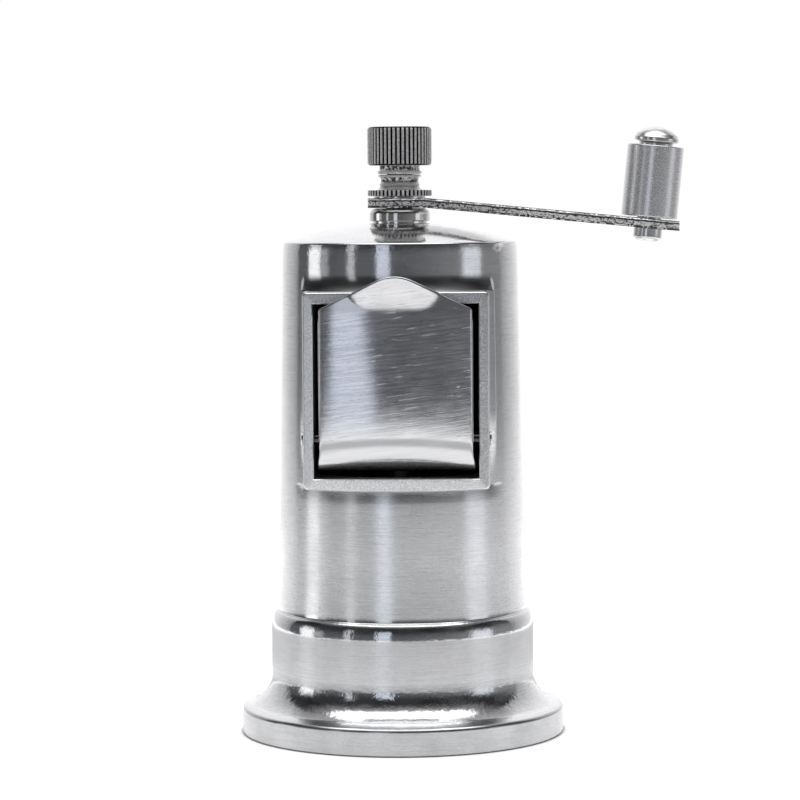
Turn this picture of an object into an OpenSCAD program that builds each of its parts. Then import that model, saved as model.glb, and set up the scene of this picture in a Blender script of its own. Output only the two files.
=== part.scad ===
// Small cast aluminium hand mill: a round body with a flared foot, a tilting filler chute in a
// rectangular frame on its front, and a crank on a vertical spindle that drives conical burrs.
// Millimetres. +Z is up along the spindle, the chute faces -Y, and the crank points along +X.

/* [Foot and body] */
// Radius of the round foot
foot_r = 30.3; // [28:0.1:32]
// Height of the foot's straight side
foot_side_h = 4.35; // [3.5:0.05:5]
// Radius of the hollow curve between the foot and the collar
cove_r = 6.5; // [5.5:0.1:7]
// Radius of the collar above the foot
collar_r = 24.7; // [24.4:0.1:25]
// Height at which the collar's shoulder starts
shoulder_z = 19.5; // [18.5:0.1:20]
// Height of the rounded shoulder
shoulder_h = 4.0; // [3:0.1:4.5]
// Radius of the barrel at its top edge
barrel_top_r = 22.05; // [21.5:0.05:22.5]
// Height of the barrel's top edge
rim_z = 91.95; // [91:0.05:93]
// Radius that the barrel gains for each millimetre down
barrel_taper = 0.0155; // [0.01:0.0005:0.02]
// Wall thickness of the casting
wall = 2.4; // [2:0.1:2.8]
// Radius of the low domed top
dome_r = 65.6; // [60:0.1:75]

/* [Filler frame] */
// Half the width of the frame
frame_half_w = 16.9; // [16.5:0.1:17.5]
// Bottom of the frame
frame_z0 = 47.8; // [46:0.1:48.5]
// Top of the frame
frame_z1 = 83.6; // [83:0.1:84.5]
// How far in front of the spindle the frame's flat face lies
frame_face = 24.5; // [24:0.1:25]
// Half the width of the opening
opening_half_w = 15.0; // [14.8:0.1:15.2]
// Bottom of the opening
opening_z0 = 49.8; // [49:0.1:50]
// Top of the opening
opening_z1 = 81.5; // [81.4:0.1:82]

/* [Filler chute] */
// Half the width of the chute
chute_half_w = 14.0; // [13.6:0.1:14.2]
// Height of the hinge pins
hinge_z = 57.0; // [56.8:0.1:57.2]
// How far in front of the spindle the hinge pins lie
hinge_front = 22.4; // [22:0.1:22.6]
// How far in front of the spindle the chute's flat front lies
chute_front = 27.2; // [27:0.1:27.4]
// Outer radius of the chute's curled lower edge
curl_r = 8.2; // [7.6:0.1:8.6]
// Thickness of the chute's front shell
shell_t = 1.4; // [1.2:0.1:1.6]
// Thickness of the two cheeks
cheek_t = 2.0; // [1.6:0.1:2.2]
// Radius of the cheeks about the hinge
cheek_r = 22.8; // [20:0.1:23]
// How far the front shell bulges across its width
bulge = 1.3; // [0.8:0.1:1.6]
// Height at which the gable's slopes start
gable_z = 80.5; // [80:0.1:81]
// Slope of the gable in degrees
gable_slope = 25.6; // [20:0.1:30]

/* [Nuts and crank] */
// Radius over the teeth of both knurled nuts
knurl_r = 6.0; // [5.6:0.05:6.4]
// Teeth around each nut
knurl_teeth = 44; // [36:1:50]
// Depth of the teeth
knurl_depth = 0.42; // [0.3:0.02:0.5]
// Thickness of the crank's steel strip
arm_t = 1.8; // [1.6:0.1:2]
// Width of the strip between its ends
arm_w = 10.4; // [9:0.1:11]
// Distance from the spindle to the grip pin
crank_throw = 46.6; // [42:0.1:50]
// How far the strip slopes down beyond its hub, in degrees
arm_drop = 5.6; // [4:0.1:7]
// Radius of the roller grip
grip_r = 5.25; // [4.8:0.05:6]
// Length of the roller grip
grip_len = 13.4; // [12:0.1:16]

/* [Spindle and burrs] */
// Radius of the spindle's round journals
journal_r = 3.5; // [3.2:0.1:3.6]
// Width across the flats of the spindle's squares
square_w = 4.9; // [4.6:0.1:5]
// Radius of the upper thread
thread_r = 2.45; // [2.2:0.05:2.5]
// Pitch of the upper thread
thread_pitch = 0.8; // [0.7:0.1:1]
// Radius of the bore that holds the outer burr
seat_r = 19.0; // [18.5:0.1:19.2]
// Fine teeth around each burr
burr_teeth = 36; // [24:1:40]
// Coarse blades on the inner burr
burr_blades = 8; // [6:1:10]

/* [Hidden] */
$fn = 64;
running = 0.05;                 // radial clearance of a turning or sliding fit
seated = 0.02;                  // radial clearance of a fixed fit
tiny = 0.01;

// body
foot_edge_r = 0.8;              // rounding between the foot's side and the cove
cove_c = [collar_r + cove_r, foot_side_h
          + sqrt(pow(cove_r + foot_edge_r, 2) - pow(collar_r + cove_r - foot_r + foot_edge_r, 2))];
foot_edge_c = [foot_r - foot_edge_r, foot_side_h];
cove_end = atan2(foot_edge_c[1] - cove_c[1], foot_edge_c[0] - cove_c[0]) + 360;
shoulder_top = shoulder_z + shoulder_h;
flare_z = 34;                   // below this the barrel widens a little more, as a parabola
flare_k = 0.0025;
rim_fillet = 0.45;
dome_c = rim_z + rim_fillet - sqrt(pow(dome_r, 2) - pow(barrel_top_r - rim_fillet, 2));
bush_flange_r = 5.7;
bush_body_r = 4.8;
bush_seat_z = dome_c + sqrt(pow(dome_r, 2) - pow(bush_flange_r + 0.2, 2));
bush_boss_r = 7.6;
bush_bottom = 90.4;
foot_hollow_r = 27.3;
seat_face_z = 9.0;              // flat that the outer burr's flange is screwed to
seat_top_z = 20.5;
under_seat_r = 23.0;

function barrel_r(z) = barrel_top_r + barrel_taper * (rim_z - z)
                       + flare_k * pow(max(0, flare_z - z), 2);
function inner_r(z) = barrel_r(max(z, 30)) - wall;
function arc(c, r, a0, a1, n) =
    [for (i = [0:n]) let (a = a0 + (a1 - a0) * i / n) [c[0] + r * cos(a), c[1] + r * sin(a)]];
function at_r(c, r, x) = c + sqrt(r * r - x * x);

// frame and chute
hinge_pin_r = 0.9;
pin_head = [1.35, 0.45];        // radius, thickness
curl_c = [-chute_front + curl_r, hinge_z + 1.6];    // centre of the curl, in (y, z)
curl_end = 262;                 // angle at which the curled edge stops inside
chute_back = frame_face + 0.25; // the gable rests this far in front of the frame's face
bulge_r = (pow(chute_half_w, 2) + pow(bulge, 2)) / (2 * bulge);
apex_round = 3.0;               // half-width of the rounded gable tip
lip_z = gable_z - 0.2;          // where the gable starts to flare out as a finger lip
lip_r = 22;                     // radius of that flare
lip_lead = 1.0;                 // how far below lip_z the flare's narrowest point lies
hollow_top = 79.4;
cheek_end = 33;                 // angle of the cheeks' inner edge above level
stop_ear = [26.3, 38.5];        // radius and last angle of the stop at the cheeks' inner corner

// top of the spindle
arm_z = 98.6;
bush_top = arm_z - 0.1;
washer_t = 0.35;
washer_r = 4.9;
nut_z = arm_z + arm_t + washer_t + 0.05;
collar_h = 1.1;
collar_boss_top = 104.8;
lock_z = 104.9;
lock_head_z = 106.5;
lock_top = 113.7;
square_top = arm_z + arm_t + 0.2;
spindle_top = 112.0;

// crank
arm_bend_x = 5.0;
hub_r = 6.0;
arm_end_r = 5.7;
pin_shaft_r = 2.3;
pin_neck_r = 3.15;
pin_head_r = 4.15;
tail_r = 2.7;
tail_len = 2.4;
grip_gap = 0.25;

// grinding parts
bridge_z = [33, 36];
bridge_w = 9;
bridge_half = 18.6;
bridge_hub_r = 6.4;
bridge_screw_x = 16.8;
bridge_bush_z = [31.2, 38.0];
bridge_bush_r = 4.6;
lug_x = 14.9;
burr_z = [7.3, 20.3];
burr_profile = [[16.05, burr_z[0]], [15.5, 10], [13.4, 12.8], [8.5, burr_z[1]]];
ring_flange = [22.0, 7.0];      // radius and underside of the outer burr's flange
ring_top = 20.0;
ring_profile = [[16.45, ring_flange[1]], [14.6, 17.5], [17.2, ring_top]];
ring_screw_pcr = 20.55;
burr_nut_z = [4.9, 7.0];
spring_z = [burr_z[1] + 0.05, bridge_bush_z[0] - 0.05];
spring_mean_r = 4.6;
spring_wire_r = 0.45;
spring_turns = 5;

ALUMINIUM = [0.80, 0.81, 0.83];
CHROME = [0.72, 0.72, 0.74];
STEEL = [0.55, 0.55, 0.57];
BRONZE = [0.72, 0.52, 0.30];

// ---------- shared shapes ----------

// a cylinder whose axis lies along X, from x0 to x1
module rod_x(r, x0, x1) { translate([x0, 0, 0]) rotate([0, 90, 0]) cylinder(r = r, h = x1 - x0); }

// a (y, z) outline extruded along X from x0 to x1
module slab_x(points, x0, x1) {
    translate([x0, 0, 0]) rotate([90, 0, 90]) linear_extrude(x1 - x0) polygon(points);
}

// an (x, z) outline extruded along Y from y0 to y1
module slab_y(points, y0, y1) {
    translate([0, y1, 0]) rotate([90, 0, 0]) linear_extrude(y1 - y0) polygon(points);
}

module mirrored_x() {
    children();
    mirror([1, 0, 0]) children();
}

module ring_of(n, phase = 0) { for (i = [0:n - 1]) rotate(phase + 360 * i / n) children(); }

module square_bar(w, z0, z1) { translate([-w / 2, -w / 2, z0]) cube([w, w, z1 - z0]); }

// straight teeth of a knurled edge
function toothed(r, depth, n) =
    [for (i = [0:2 * n - 1]) let (q = r - (i % 2) * depth) [q * cos(180 * i / n), q * sin(180 * i / n)]];

// a slotted cheese head with its shank above it, as both kinds of screw are driven from below
module screw_from_below(head_r, head_h, shank_r, shank_h) {
    difference() {
        translate([0, 0, -head_h]) cylinder(r = head_r, h = head_h);
        translate([-head_r - 1, -0.3, -head_h - 1]) cube([2 * head_r + 2, 0.6, 1.7]);
    }
    cylinder(r = shank_r, h = shank_h);
}

// a three-sided groove whose sharp bottom runs from p0 to p1 in the XZ plane, turned by skew
// about the line that points away from the axis, and open on its dir side
module vee(p0, p1, depth, half_w, skew, dir) {
    mid = (p0 + p1) / 2;
    len = norm(p1 - p0) + 4;
    tilt = atan2(p1[0] - p0[0], p1[1] - p0[1]);
    translate([mid[0], 0, mid[1]]) rotate([0, tilt, 0]) rotate([skew, 0, 0])
        translate([0, 0, -len / 2]) linear_extrude(len)
            polygon([[-dir * depth, 0], [dir * depth, half_w * 2], [dir * depth, -half_w * 2]]);
}

// ---------- casting ----------

module housing_outside() {
    rotate_extrude($fn = 128) polygon(concat(
        [[0, 0], [foot_r - 0.3, 0], [foot_r, 0.3]],
        arc(foot_edge_c, foot_edge_r, 0, cove_end - 180, 6),
        arc(cove_c, cove_r, cove_end, 180, 14),
        [for (a = [0:6:90]) [barrel_r(shoulder_top)
            + (collar_r - 0.05 - barrel_r(shoulder_top)) * cos(a), shoulder_z + shoulder_h * sin(a)]],
        [for (z = [shoulder_top + 0.5:3.5:34.5]) [barrel_r(z), z]],
        arc([barrel_top_r - rim_fillet, rim_z], rim_fillet, 0, 75, 4),
        [for (i = [0:10]) let (r = (barrel_top_r - rim_fillet) * (1 - i / 10)
                                   + (bush_flange_r + 0.2) * i / 10) [r, at_r(dome_c, dome_r, r)]],
        [[0, bush_seat_z]]));
}

module frame_block() {
    r = 0.9;
    bow = 0.45;                 // the frame's lower edge sags a little at its middle
    slab_y(concat(
        arc([frame_half_w - r, frame_z1 - r], r, 0, 90, 5),
        arc([-frame_half_w + r, frame_z1 - r], r, 90, 180, 5),
        arc([-frame_half_w + r, frame_z0 + r], r, 180, 265, 5),
        [for (i = [-4:4]) let (x = i / 5 * frame_half_w) [x, frame_z0 - bow * (1 - pow(i / 5, 2))]],
        arc([frame_half_w - r, frame_z0 + r], r, 275, 360, 5)), -frame_face, -8);
}

module housing_hollow() {
    rotate_extrude($fn = 128) polygon(concat(
        [[0, -1], [foot_hollow_r, -1], [foot_hollow_r, 2], [24.6, 5.4], [under_seat_r, 7.4],
         [under_seat_r, seat_face_z], [seat_r, seat_face_z], [seat_r, seat_top_z],
         [inner_r(0), shoulder_top]],
        [for (z = [30, rim_z - 3]) [inner_r(z), z]],
        [for (i = [0:6]) let (r = (inner_r(rim_z) - 1.2) * (1 - i / 6) + bush_boss_r * i / 6)
            [r, at_r(dome_c, dome_r - wall, r)]],
        [[bush_boss_r, bush_bottom], [0, bush_bottom]]));
}

// a sloped lug inside the barrel that one end of the bridge is screwed up against
module bridge_lug() {
    slab_y([[lug_x, bridge_z[1]], [21.4, bridge_z[1]], [21.4, 45], [lug_x, 40]],
           -bridge_w / 2, bridge_w / 2);
}

module housing() {
    color(ALUMINIUM) difference() {
        union() {
            difference() {
                union() {
                    housing_outside();
                    frame_block();
                }
                housing_hollow();
            }
            mirrored_x() bridge_lug();
        }
        translate([-opening_half_w, -frame_face - 1, opening_z0])
            cube([2 * opening_half_w, frame_face + 1 - 12.5, opening_z1 - opening_z0]);
        cylinder(r = bush_body_r + seated, h = 120);
        mirrored_x() translate([bridge_screw_x, 0, bridge_z[1] - 1])
            cylinder(r = 1.5 + seated, h = 6);
        ring_of(3, 90) translate([ring_screw_pcr, 0, seat_face_z - 1])
            cylinder(r = 1.1 + seated, h = 6.5);
        translate([0, -hinge_front, hinge_z]) rod_x(hinge_pin_r + seated, -20, 20);
    }
}

// ---------- fixed fittings ----------

module top_bush() {
    edge = 1.1;
    color(CHROME) difference() {
        rotate_extrude($fn = 96) polygon(concat(
            [[0, bush_bottom - 0.3], [bush_body_r, bush_bottom - 0.3], [bush_body_r, bush_seat_z],
             [bush_flange_r - 0.2, bush_seat_z], [bush_flange_r, bush_seat_z + 0.2]],
            arc([bush_flange_r - edge, bush_top - edge], edge, 0, 90, 8),
            [[0, bush_top]]));
        cylinder(r = journal_r + running, h = 120);
    }
}

module outer_burr() {
    color(STEEL) difference() {
        union() {
            translate([0, 0, ring_flange[1]])
                cylinder(r = ring_flange[0], h = seat_face_z - ring_flange[1], $fn = 128);
            translate([0, 0, ring_flange[1]])
                cylinder(r = seat_r - seated, h = ring_top - ring_flange[1], $fn = 128);
        }
        rotate_extrude($fn = 96) polygon(concat(
            [[0, ring_flange[1] - 1], [ring_profile[0][0], ring_flange[1] - 1]],
            ring_profile, [[ring_profile[2][0], ring_top + 1], [0, ring_top + 1]]));
        ring_of(burr_teeth) vee([ring_profile[0][0] - 0.1, ring_flange[1]], [15.4, 12.5],
                                0.5, 0.55, -14, -1);
        ring_of(burr_blades, 10) vee([15.6, 12.5], [16.8, ring_top + 1], 0.9, 1.1, -18, -1);
        ring_of(3, 90) translate([ring_screw_pcr, 0, 0]) cylinder(r = 1.3, h = 10);
    }
}

module burr_ring_screws() {
    color(STEEL) ring_of(3, 90) translate([ring_screw_pcr, 0, ring_flange[1]])
        screw_from_below(2.0, 1.6, 1.1, 7);
}

module bridge() {
    color(STEEL) difference() {
        union() {
            intersection() {
                translate([-bridge_half, -bridge_w / 2, bridge_z[0]])
                    cube([2 * bridge_half, bridge_w, bridge_z[1] - bridge_z[0]]);
                cylinder(r = bridge_half, h = 60, $fn = 96);
            }
            translate([0, 0, bridge_bush_z[0] + 0.8])
                cylinder(r = bridge_hub_r, h = 5.4);
        }
        cylinder(r = bridge_bush_r + seated, h = 60);
        mirrored_x() translate([bridge_screw_x, 0, 30]) cylinder(r = 1.7, h = 10);
    }
}

module bridge_bush() {
    color(BRONZE) difference() {
        union() {
            translate([0, 0, bridge_bush_z[0]])
                cylinder(r = bridge_bush_r, h = bridge_bush_z[1] - bridge_bush_z[0]);
            translate([0, 0, bridge_bush_z[0]]) cylinder(r = 6.0, h = 0.8);
        }
        cylinder(r = journal_r + running, h = 60);
    }
}

module bridge_screws() {
    color(STEEL) mirrored_x() translate([bridge_screw_x, 0, bridge_z[0]])
        screw_from_below(2.7, 1.9, 1.5, 7.6);
}

module hinge_pins() {
    color(CHROME) mirrored_x() translate([0, -hinge_front, hinge_z]) {
        rod_x(hinge_pin_r, chute_half_w - cheek_t + 0.3, frame_half_w + tiny);
        rod_x(pin_head[0], frame_half_w, frame_half_w + pin_head[1]);
    }
}

// ---------- tilting filler chute ----------

// the gabled front, seen from -Y
function chute_outline() = let (
        tip_z = gable_z + (chute_half_w - apex_round) * tan(gable_slope),
        tip_r = apex_round / sin(gable_slope),
        flare = 0.3)
    let (right = [
        [chute_half_w - 0.9, hinge_z - 7.5], [chute_half_w - 0.2, hinge_z - 5.6],
        [chute_half_w + flare, hinge_z - 4.4], [chute_half_w, hinge_z + 1],
        [chute_half_w, gable_z - 0.6], [chute_half_w - 0.3, gable_z + 0.1]])
    concat(
        right,
        arc([0, tip_z - tip_r * cos(gable_slope)], tip_r, 90 - gable_slope, 90 + gable_slope, 8),
        [for (i = [len(right) - 1:-1:0]) [-right[i][0], right[i][1]]]);

// the front without its finger lip, from the side: a curled lower edge and a flat front
function chute_side() = concat(
    arc(curl_c, curl_r, 180, curl_end, 14),
    [[-hinge_front + 4, hinge_z + 1], [-chute_back, hinge_z + 3.5], [-chute_back, 90],
     [-chute_front, 90]]);

// what is hollowed out behind the front shell, from the side
function chute_hollow() = concat(
    arc(curl_c, curl_r - shell_t, 180, curl_end, 14),
    [[20, hinge_z - 8], [20, hollow_top], [-chute_front + shell_t, hollow_top]]);

// everything behind a bulged front face that is t inside the outer one
module behind_bulge(t) {
    translate([0, -chute_front + bulge_r, 0]) cylinder(r = bulge_r - t, h = 120, $fn = 256);
}

// the gable's upper part, whose bulged face flares out around a line in front of it; the flare
// starts lip_lead below lip_z, a little inside the front, and comes out of it at lip_z
module finger_lip() {
    reach = 2;
    waist_r = lip_r + pow(lip_lead, 2) / (2 * lip_r);
    difference() {
        slab_x([[-chute_front - reach, lip_z - lip_lead / 2], [-chute_back, lip_z - lip_lead / 2],
                [-chute_back, 90], [-chute_front - reach, 90]], -20, 20);
        translate([0, -chute_front - lip_r, lip_z - lip_lead]) rotate([0, 90, 0])
            rotate_extrude($fn = 128) polygon(concat([[0, -16]],
                [for (x = [-16:2:16]) [waist_r + bulge_r - at_r(0, bulge_r, x), x]], [[0, 16]]));
    }
}

module chute_cheek() {
    ear = [for (a = [cheek_end, stop_ear[1]]) stop_ear[0] * [cos(a), sin(a)]];
    translate([0, -hinge_front, hinge_z]) {
        intersection() {
            rod_x(cheek_r, chute_half_w - cheek_t, chute_half_w);
            slab_x([[0, 0], 40 * [cos(cheek_end), sin(cheek_end)], [30, 40], [-4, 40], [-4, 0]],
                   0, 20);
        }
        slab_x(concat([[2, 1.3]], ear, [[2, 2.6]]), chute_half_w - cheek_t, chute_half_w);
    }
}

module filler_chute() {
    color(ALUMINIUM) difference() {
        union() {
            intersection() {
                slab_y(chute_outline(), -40, 0);
                union() {
                    intersection() {
                        slab_x(chute_side(), -20, 20);
                        behind_bulge(0);
                    }
                    finger_lip();
                }
            }
            mirrored_x() intersection() {
                chute_cheek();
                behind_bulge(0);
            }
        }
        intersection() {
            slab_x(chute_hollow(), -chute_half_w + cheek_t, chute_half_w - cheek_t);
            behind_bulge(shell_t);
        }
        translate([0, -hinge_front, hinge_z]) rod_x(hinge_pin_r + running, -20, 20);
    }
}

// ---------- crank ----------

// places children at the grip pin, with z = 0 on the strip's upper face and z along the pin
module at_grip() {
    translate([arm_bend_x, 0, arm_z + arm_t]) rotate([0, arm_drop, 0])
        translate([(crank_throw - arm_bend_x) / cos(arm_drop), 0, 0]) children();
}

module crank_arm() {
    far = 60;
    drop = tan(arm_drop);
    color(CHROME) difference() {
        intersection() {
            slab_y([[-10, arm_z], [arm_bend_x, arm_z], [far, arm_z - (far - arm_bend_x) * drop],
                    [far, arm_z + arm_t - (far - arm_bend_x) * drop], [arm_bend_x, arm_z + arm_t],
                    [-10, arm_z + arm_t]], -10, 10);
            union() {
                translate([0, 0, 80]) cylinder(r = hub_r, h = 40, $fn = 96);
                translate([0, -arm_w / 2, 80]) cube([crank_throw, arm_w, 40]);
                translate([crank_throw, 0, 80]) cylinder(r = arm_end_r, h = 40, $fn = 96);
            }
        }
        square_bar(square_w + 2 * running, 90, 110);
        at_grip() translate([0, 0, -5]) cylinder(r = 1.8 + seated, h = 10);
    }
}

module thrust_washer() {
    color(CHROME) difference() {
        translate([0, 0, arm_z + arm_t]) cylinder(r = washer_r, h = washer_t);
        cylinder(r = journal_r + 0.1, h = 120);
    }
}

// a shouldered rivet: domed head, neck, shaft, and a tail headed over under the strip
module grip_pin() {
    neck = grip_gap + grip_len - 0.7;
    head = grip_gap + grip_len + 0.55;
    rim = 0.8;
    dome = 1.9;
    dome_sphere = (pow(pin_head_r, 2) + pow(dome, 2)) / (2 * dome);
    half = asin(pin_head_r / dome_sphere);
    color(CHROME) at_grip() rotate_extrude() polygon(concat(
        [[0, -arm_t - tail_len]],
        arc([tail_r - 0.9, -arm_t - tail_len + 0.9], 0.9, -80, 0, 5),
        [[tail_r, -arm_t], [1.8, -arm_t], [1.8, 0], [pin_shaft_r, 0], [pin_shaft_r, neck],
         [pin_neck_r, neck], [pin_neck_r, head], [pin_head_r, head + 0.45]],
        arc([0, head + rim + 0.35 + dome - dome_sphere], dome_sphere, 90 - half, 90, 10)));
}

module grip_roller() {
    edge = 0.25;
    recess = 1.0;
    top = grip_gap + grip_len;
    color(ALUMINIUM) at_grip() rotate_extrude($fn = 96) polygon([
        [pin_shaft_r + running, grip_gap], [grip_r - edge, grip_gap], [grip_r, grip_gap + edge],
        [grip_r, top - edge], [grip_r - edge, top], [pin_neck_r + 0.15, top],
        [pin_neck_r + 0.15, top - recess], [pin_shaft_r + running, top - recess]]);
}

// ---------- spindle and burrs ----------

// a stretch of thread, as a stack of vee rings at the thread's pitch
module thread_rings(r, z0, z1) {
    depth = thread_pitch * 0.45;
    n = floor((z1 - z0) / thread_pitch);
    rotate_extrude() polygon(concat(
        [[0, z0], [r - depth, z0]],
        [for (i = [0:n - 1], k = [0, 1])
            k == 0 ? [r, z0 + (i + 0.4) * thread_pitch] : [r - depth, z0 + (i + 1) * thread_pitch]],
        [[r - depth, z1], [0, z1]]));
}

module spindle() {
    color(STEEL) union() {
        thread_rings(1.95, burr_nut_z[0] - 0.2, burr_z[0] + 0.2);
        square_bar(square_w, burr_z[0] + 0.1, burr_z[1] + 0.1);
        translate([0, 0, burr_z[1]]) cylinder(r = journal_r, h = arm_z - 0.15 - burr_z[1]);
        square_bar(square_w, arm_z - 0.2, square_top);
        thread_rings(thread_r, square_top - 0.1, spindle_top - 0.4);
        translate([0, 0, spindle_top - 0.5]) cylinder(r1 = thread_r - 0.36, r2 = thread_r - 0.7, h = 0.5);
    }
}

module inner_burr() {
    color(STEEL) difference() {
        rotate_extrude($fn = 96)
            polygon(concat([[0, burr_z[0]]], burr_profile, [[0, burr_z[1]]]));
        ring_of(burr_teeth) vee(burr_profile[0] - [0.2, 1], burr_profile[1] + [-0.3, 0.6],
                                0.45, 0.5, 16, 1);
        ring_of(burr_blades) vee(burr_profile[1] + [-0.4, 0], burr_profile[3] + [-0.6, 1],
                                 1.5, 1.6, 26, 1);
        square_bar(square_w + 2 * seated, 0, 40);
    }
}

module burr_washer() {
    color(STEEL) difference() {
        translate([0, 0, burr_nut_z[1]]) cylinder(r = 4.5, h = burr_z[0] - burr_nut_z[1]);
        cylinder(r = 2.1, h = 20);
    }
}

module burr_nut() {
    color(STEEL) difference() {
        translate([0, 0, burr_nut_z[0]])
            cylinder(r = 3.5 / cos(30), h = burr_nut_z[1] - burr_nut_z[0], $fn = 6);
        cylinder(r = 1.95 + seated, h = 20);
    }
}

// an open coil with one flat turn at each end, swept as one tube
module burr_spring() {
    sides = 8;
    steps = 18;                 // rings in each turn
    total = spring_turns + 2;
    rings = total * steps;
    lift = spring_z[1] - spring_z[0] - 2 * spring_wire_r;
    function rise(t) = t < 1 ? 0 : t > total - 1 ? 1 : (t - 1) / (total - 2);
    function ring(k) = let (t = k / steps, a = 360 * t, z = spring_z[0] + spring_wire_r
                            + lift * (0.09 * min(t, 1) + 0.82 * rise(t) + 0.09 * max(0, t - total + 1)))
        [for (s = [0:sides - 1]) let (b = 360 * s / sides, q = spring_mean_r + spring_wire_r * cos(b))
            [q * cos(a), q * sin(a), z + spring_wire_r * sin(b)]];
    color(STEEL) polyhedron(
        points = [for (k = [0:rings], p = ring(k)) p],
        faces = concat(
            [[for (s = [0:sides - 1]) s]],
            [[for (s = [0:sides - 1]) rings * sides + sides - 1 - s]],
            [for (k = [0:rings - 1], s = [0:sides - 1]) let (n = (s + 1) % sides)
                [k * sides + n, k * sides + s, (k + 1) * sides + s, (k + 1) * sides + n]]),
        convexity = 12);
}

// ---------- knurled nuts ----------

// the teeth around a nut's head, chamfered by c at both ends
module knurled(z0, z1, c) {
    intersection() {
        translate([0, 0, z0]) linear_extrude(z1 - z0)
            polygon(toothed(knurl_r, knurl_depth, knurl_teeth));
        rotate_extrude($fn = 96) polygon([[0, z0], [knurl_r - c, z0], [knurl_r + 0.1, z0 + c],
            [knurl_r + 0.1, z1 - c], [knurl_r - c, z1], [0, z1]]);
    }
}

module adjusting_nut() {
    top = nut_z + collar_h;
    color(CHROME) difference() {
        union() {
            knurled(nut_z, top, 0.12);
            rotate_extrude() polygon(concat(
                [[0, top - 0.1], [4.5, top - 0.1], [4.4, top + 0.25], [3.55, top + 0.65]],
                arc([3.0, top + 1.55], 0.72, -45, 60, 6),
                [[3.3, collar_boss_top - 0.25], [3.15, collar_boss_top], [0, collar_boss_top]]));
        }
        cylinder(r = thread_r + running, h = 120);
    }
}

module lock_nut() {
    dish = 4.7;
    color(CHROME) difference() {
        union() {
            knurled(lock_head_z, lock_top, 0.4);
            rotate_extrude() polygon(concat(
                [[0, lock_z], [3.3, lock_z], [3.5, lock_z + 0.2], [3.5, lock_z + 0.8]],
                arc([4.2, lock_z + 0.8], 0.7, 180, 100, 4),
                [[4.6, lock_head_z], [4.6, lock_head_z + 0.2], [0, lock_head_z + 0.2]]));
        }
        translate([0, 0, lock_z - 1]) cylinder(r = thread_r + running, h = spindle_top + 0.4 - lock_z + 1);
        translate([0, 0, lock_top - 0.35]) cylinder(r1 = dish - 0.6, r2 = dish + 0.1, h = 0.4);
    }
}

housing();
top_bush();
outer_burr();
burr_ring_screws();
bridge();
bridge_bush();
bridge_screws();
hinge_pins();
filler_chute();
crank_arm();
thrust_washer();
grip_pin();
grip_roller();
spindle();
inner_burr();
burr_washer();
burr_nut();
burr_spring();
adjusting_nut();
lock_nut();
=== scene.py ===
"""Looks of the small cast aluminium hand mill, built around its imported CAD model.

Sizes in this script are millimetres unless a name says otherwise; MM turns them into metres.
"""

from math import asin, atan2, cos, degrees, hypot, pi, radians, sin, sqrt, tan

import bmesh
import bpy
import numpy as np
from mathutils import Matrix, Vector, noise


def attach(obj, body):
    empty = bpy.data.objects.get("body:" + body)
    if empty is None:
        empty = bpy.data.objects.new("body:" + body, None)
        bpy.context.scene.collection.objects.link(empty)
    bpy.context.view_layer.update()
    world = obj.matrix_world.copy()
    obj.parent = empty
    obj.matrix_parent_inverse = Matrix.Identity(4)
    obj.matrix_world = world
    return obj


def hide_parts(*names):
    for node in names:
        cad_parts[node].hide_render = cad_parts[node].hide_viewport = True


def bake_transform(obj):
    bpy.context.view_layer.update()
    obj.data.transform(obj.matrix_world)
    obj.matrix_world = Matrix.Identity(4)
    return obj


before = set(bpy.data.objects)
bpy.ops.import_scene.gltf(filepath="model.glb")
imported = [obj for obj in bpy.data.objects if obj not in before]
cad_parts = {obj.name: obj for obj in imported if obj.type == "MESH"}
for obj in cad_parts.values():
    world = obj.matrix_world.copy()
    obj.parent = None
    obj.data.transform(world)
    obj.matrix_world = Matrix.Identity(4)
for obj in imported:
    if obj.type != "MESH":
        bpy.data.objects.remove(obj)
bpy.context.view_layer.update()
scene = bpy.context.scene
MM = 0.001

# ---------- sizes shared with the CAD source ----------
FOOT_R, FOOT_SIDE_H, FOOT_EDGE_R = 30.3, 4.35, 0.8
COVE_R, COLLAR_R = 6.5, 24.7
SHOULDER_Z, SHOULDER_H = 19.5, 4.0
BARREL_TOP_R, RIM_Z, TAPER, FLARE, FLARE_Z = 22.05, 91.95, 0.0155, 0.0025, 34
WALL, DOME_R, RIM_FILLET = 2.4, 65.6, 0.45
RIM_LEAN, RIM_LEAN_Z = 0.05, 90.1
FRAME_HALF, FRAME_Z, FRAME_FACE, FRAME_BOW = 16.9, (47.8, 83.6), 24.5, 0.45
OPEN_HALF, OPEN_Z = 15.0, (49.8, 81.5)
LEAN_LEFT, LEAN_RIGHT, LEAN_BELOW, LEAN_ABOVE = 0.17, 0.06, 0.13, 0.03
CHUTE_HALF, CHUTE_FRONT, CHUTE_BACK = 14.0, 27.2, 24.75
HINGE_Z, HINGE_FRONT = 57.0, 22.4
CURL_R, CURL_TOP, CURL_END, PILLOW_Z, PILLOW_R, LIP_Z = 7.6, 57.8, 262, 66.0, 110.0, 79.5
SHELL_T, CHEEK_T, GABLE_Z, GABLE_SLOPE, APEX_ROUND = 1.4, 2.0, 80.5, 25.6, 3.0
BUSH_R, BUSH_BODY_R, BUSH_BOTTOM = 5.7, 4.8, 90.1
ARM_Z, ARM_T, ARM_BEND_X, ARM_DROP, THROW = 98.6, 1.8, 5.0, 5.6, 46.6
HUB_R, ARM_HALF, ARM_END_R, PIN_HOLE_R = 6.0, 5.2, 5.7, 1.8
WASHER_R, WASHER_T = 4.9, 0.35
KNURL_R, TEETH, TOOTH_DEPTH, NECK_R = 6.0, 44, 0.42, 4.1
WAIST_Z, LOCK_Z, LOCK_HEAD_Z, LOCK_TOP = 103.7, 104.9, 106.5, 113.7
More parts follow.
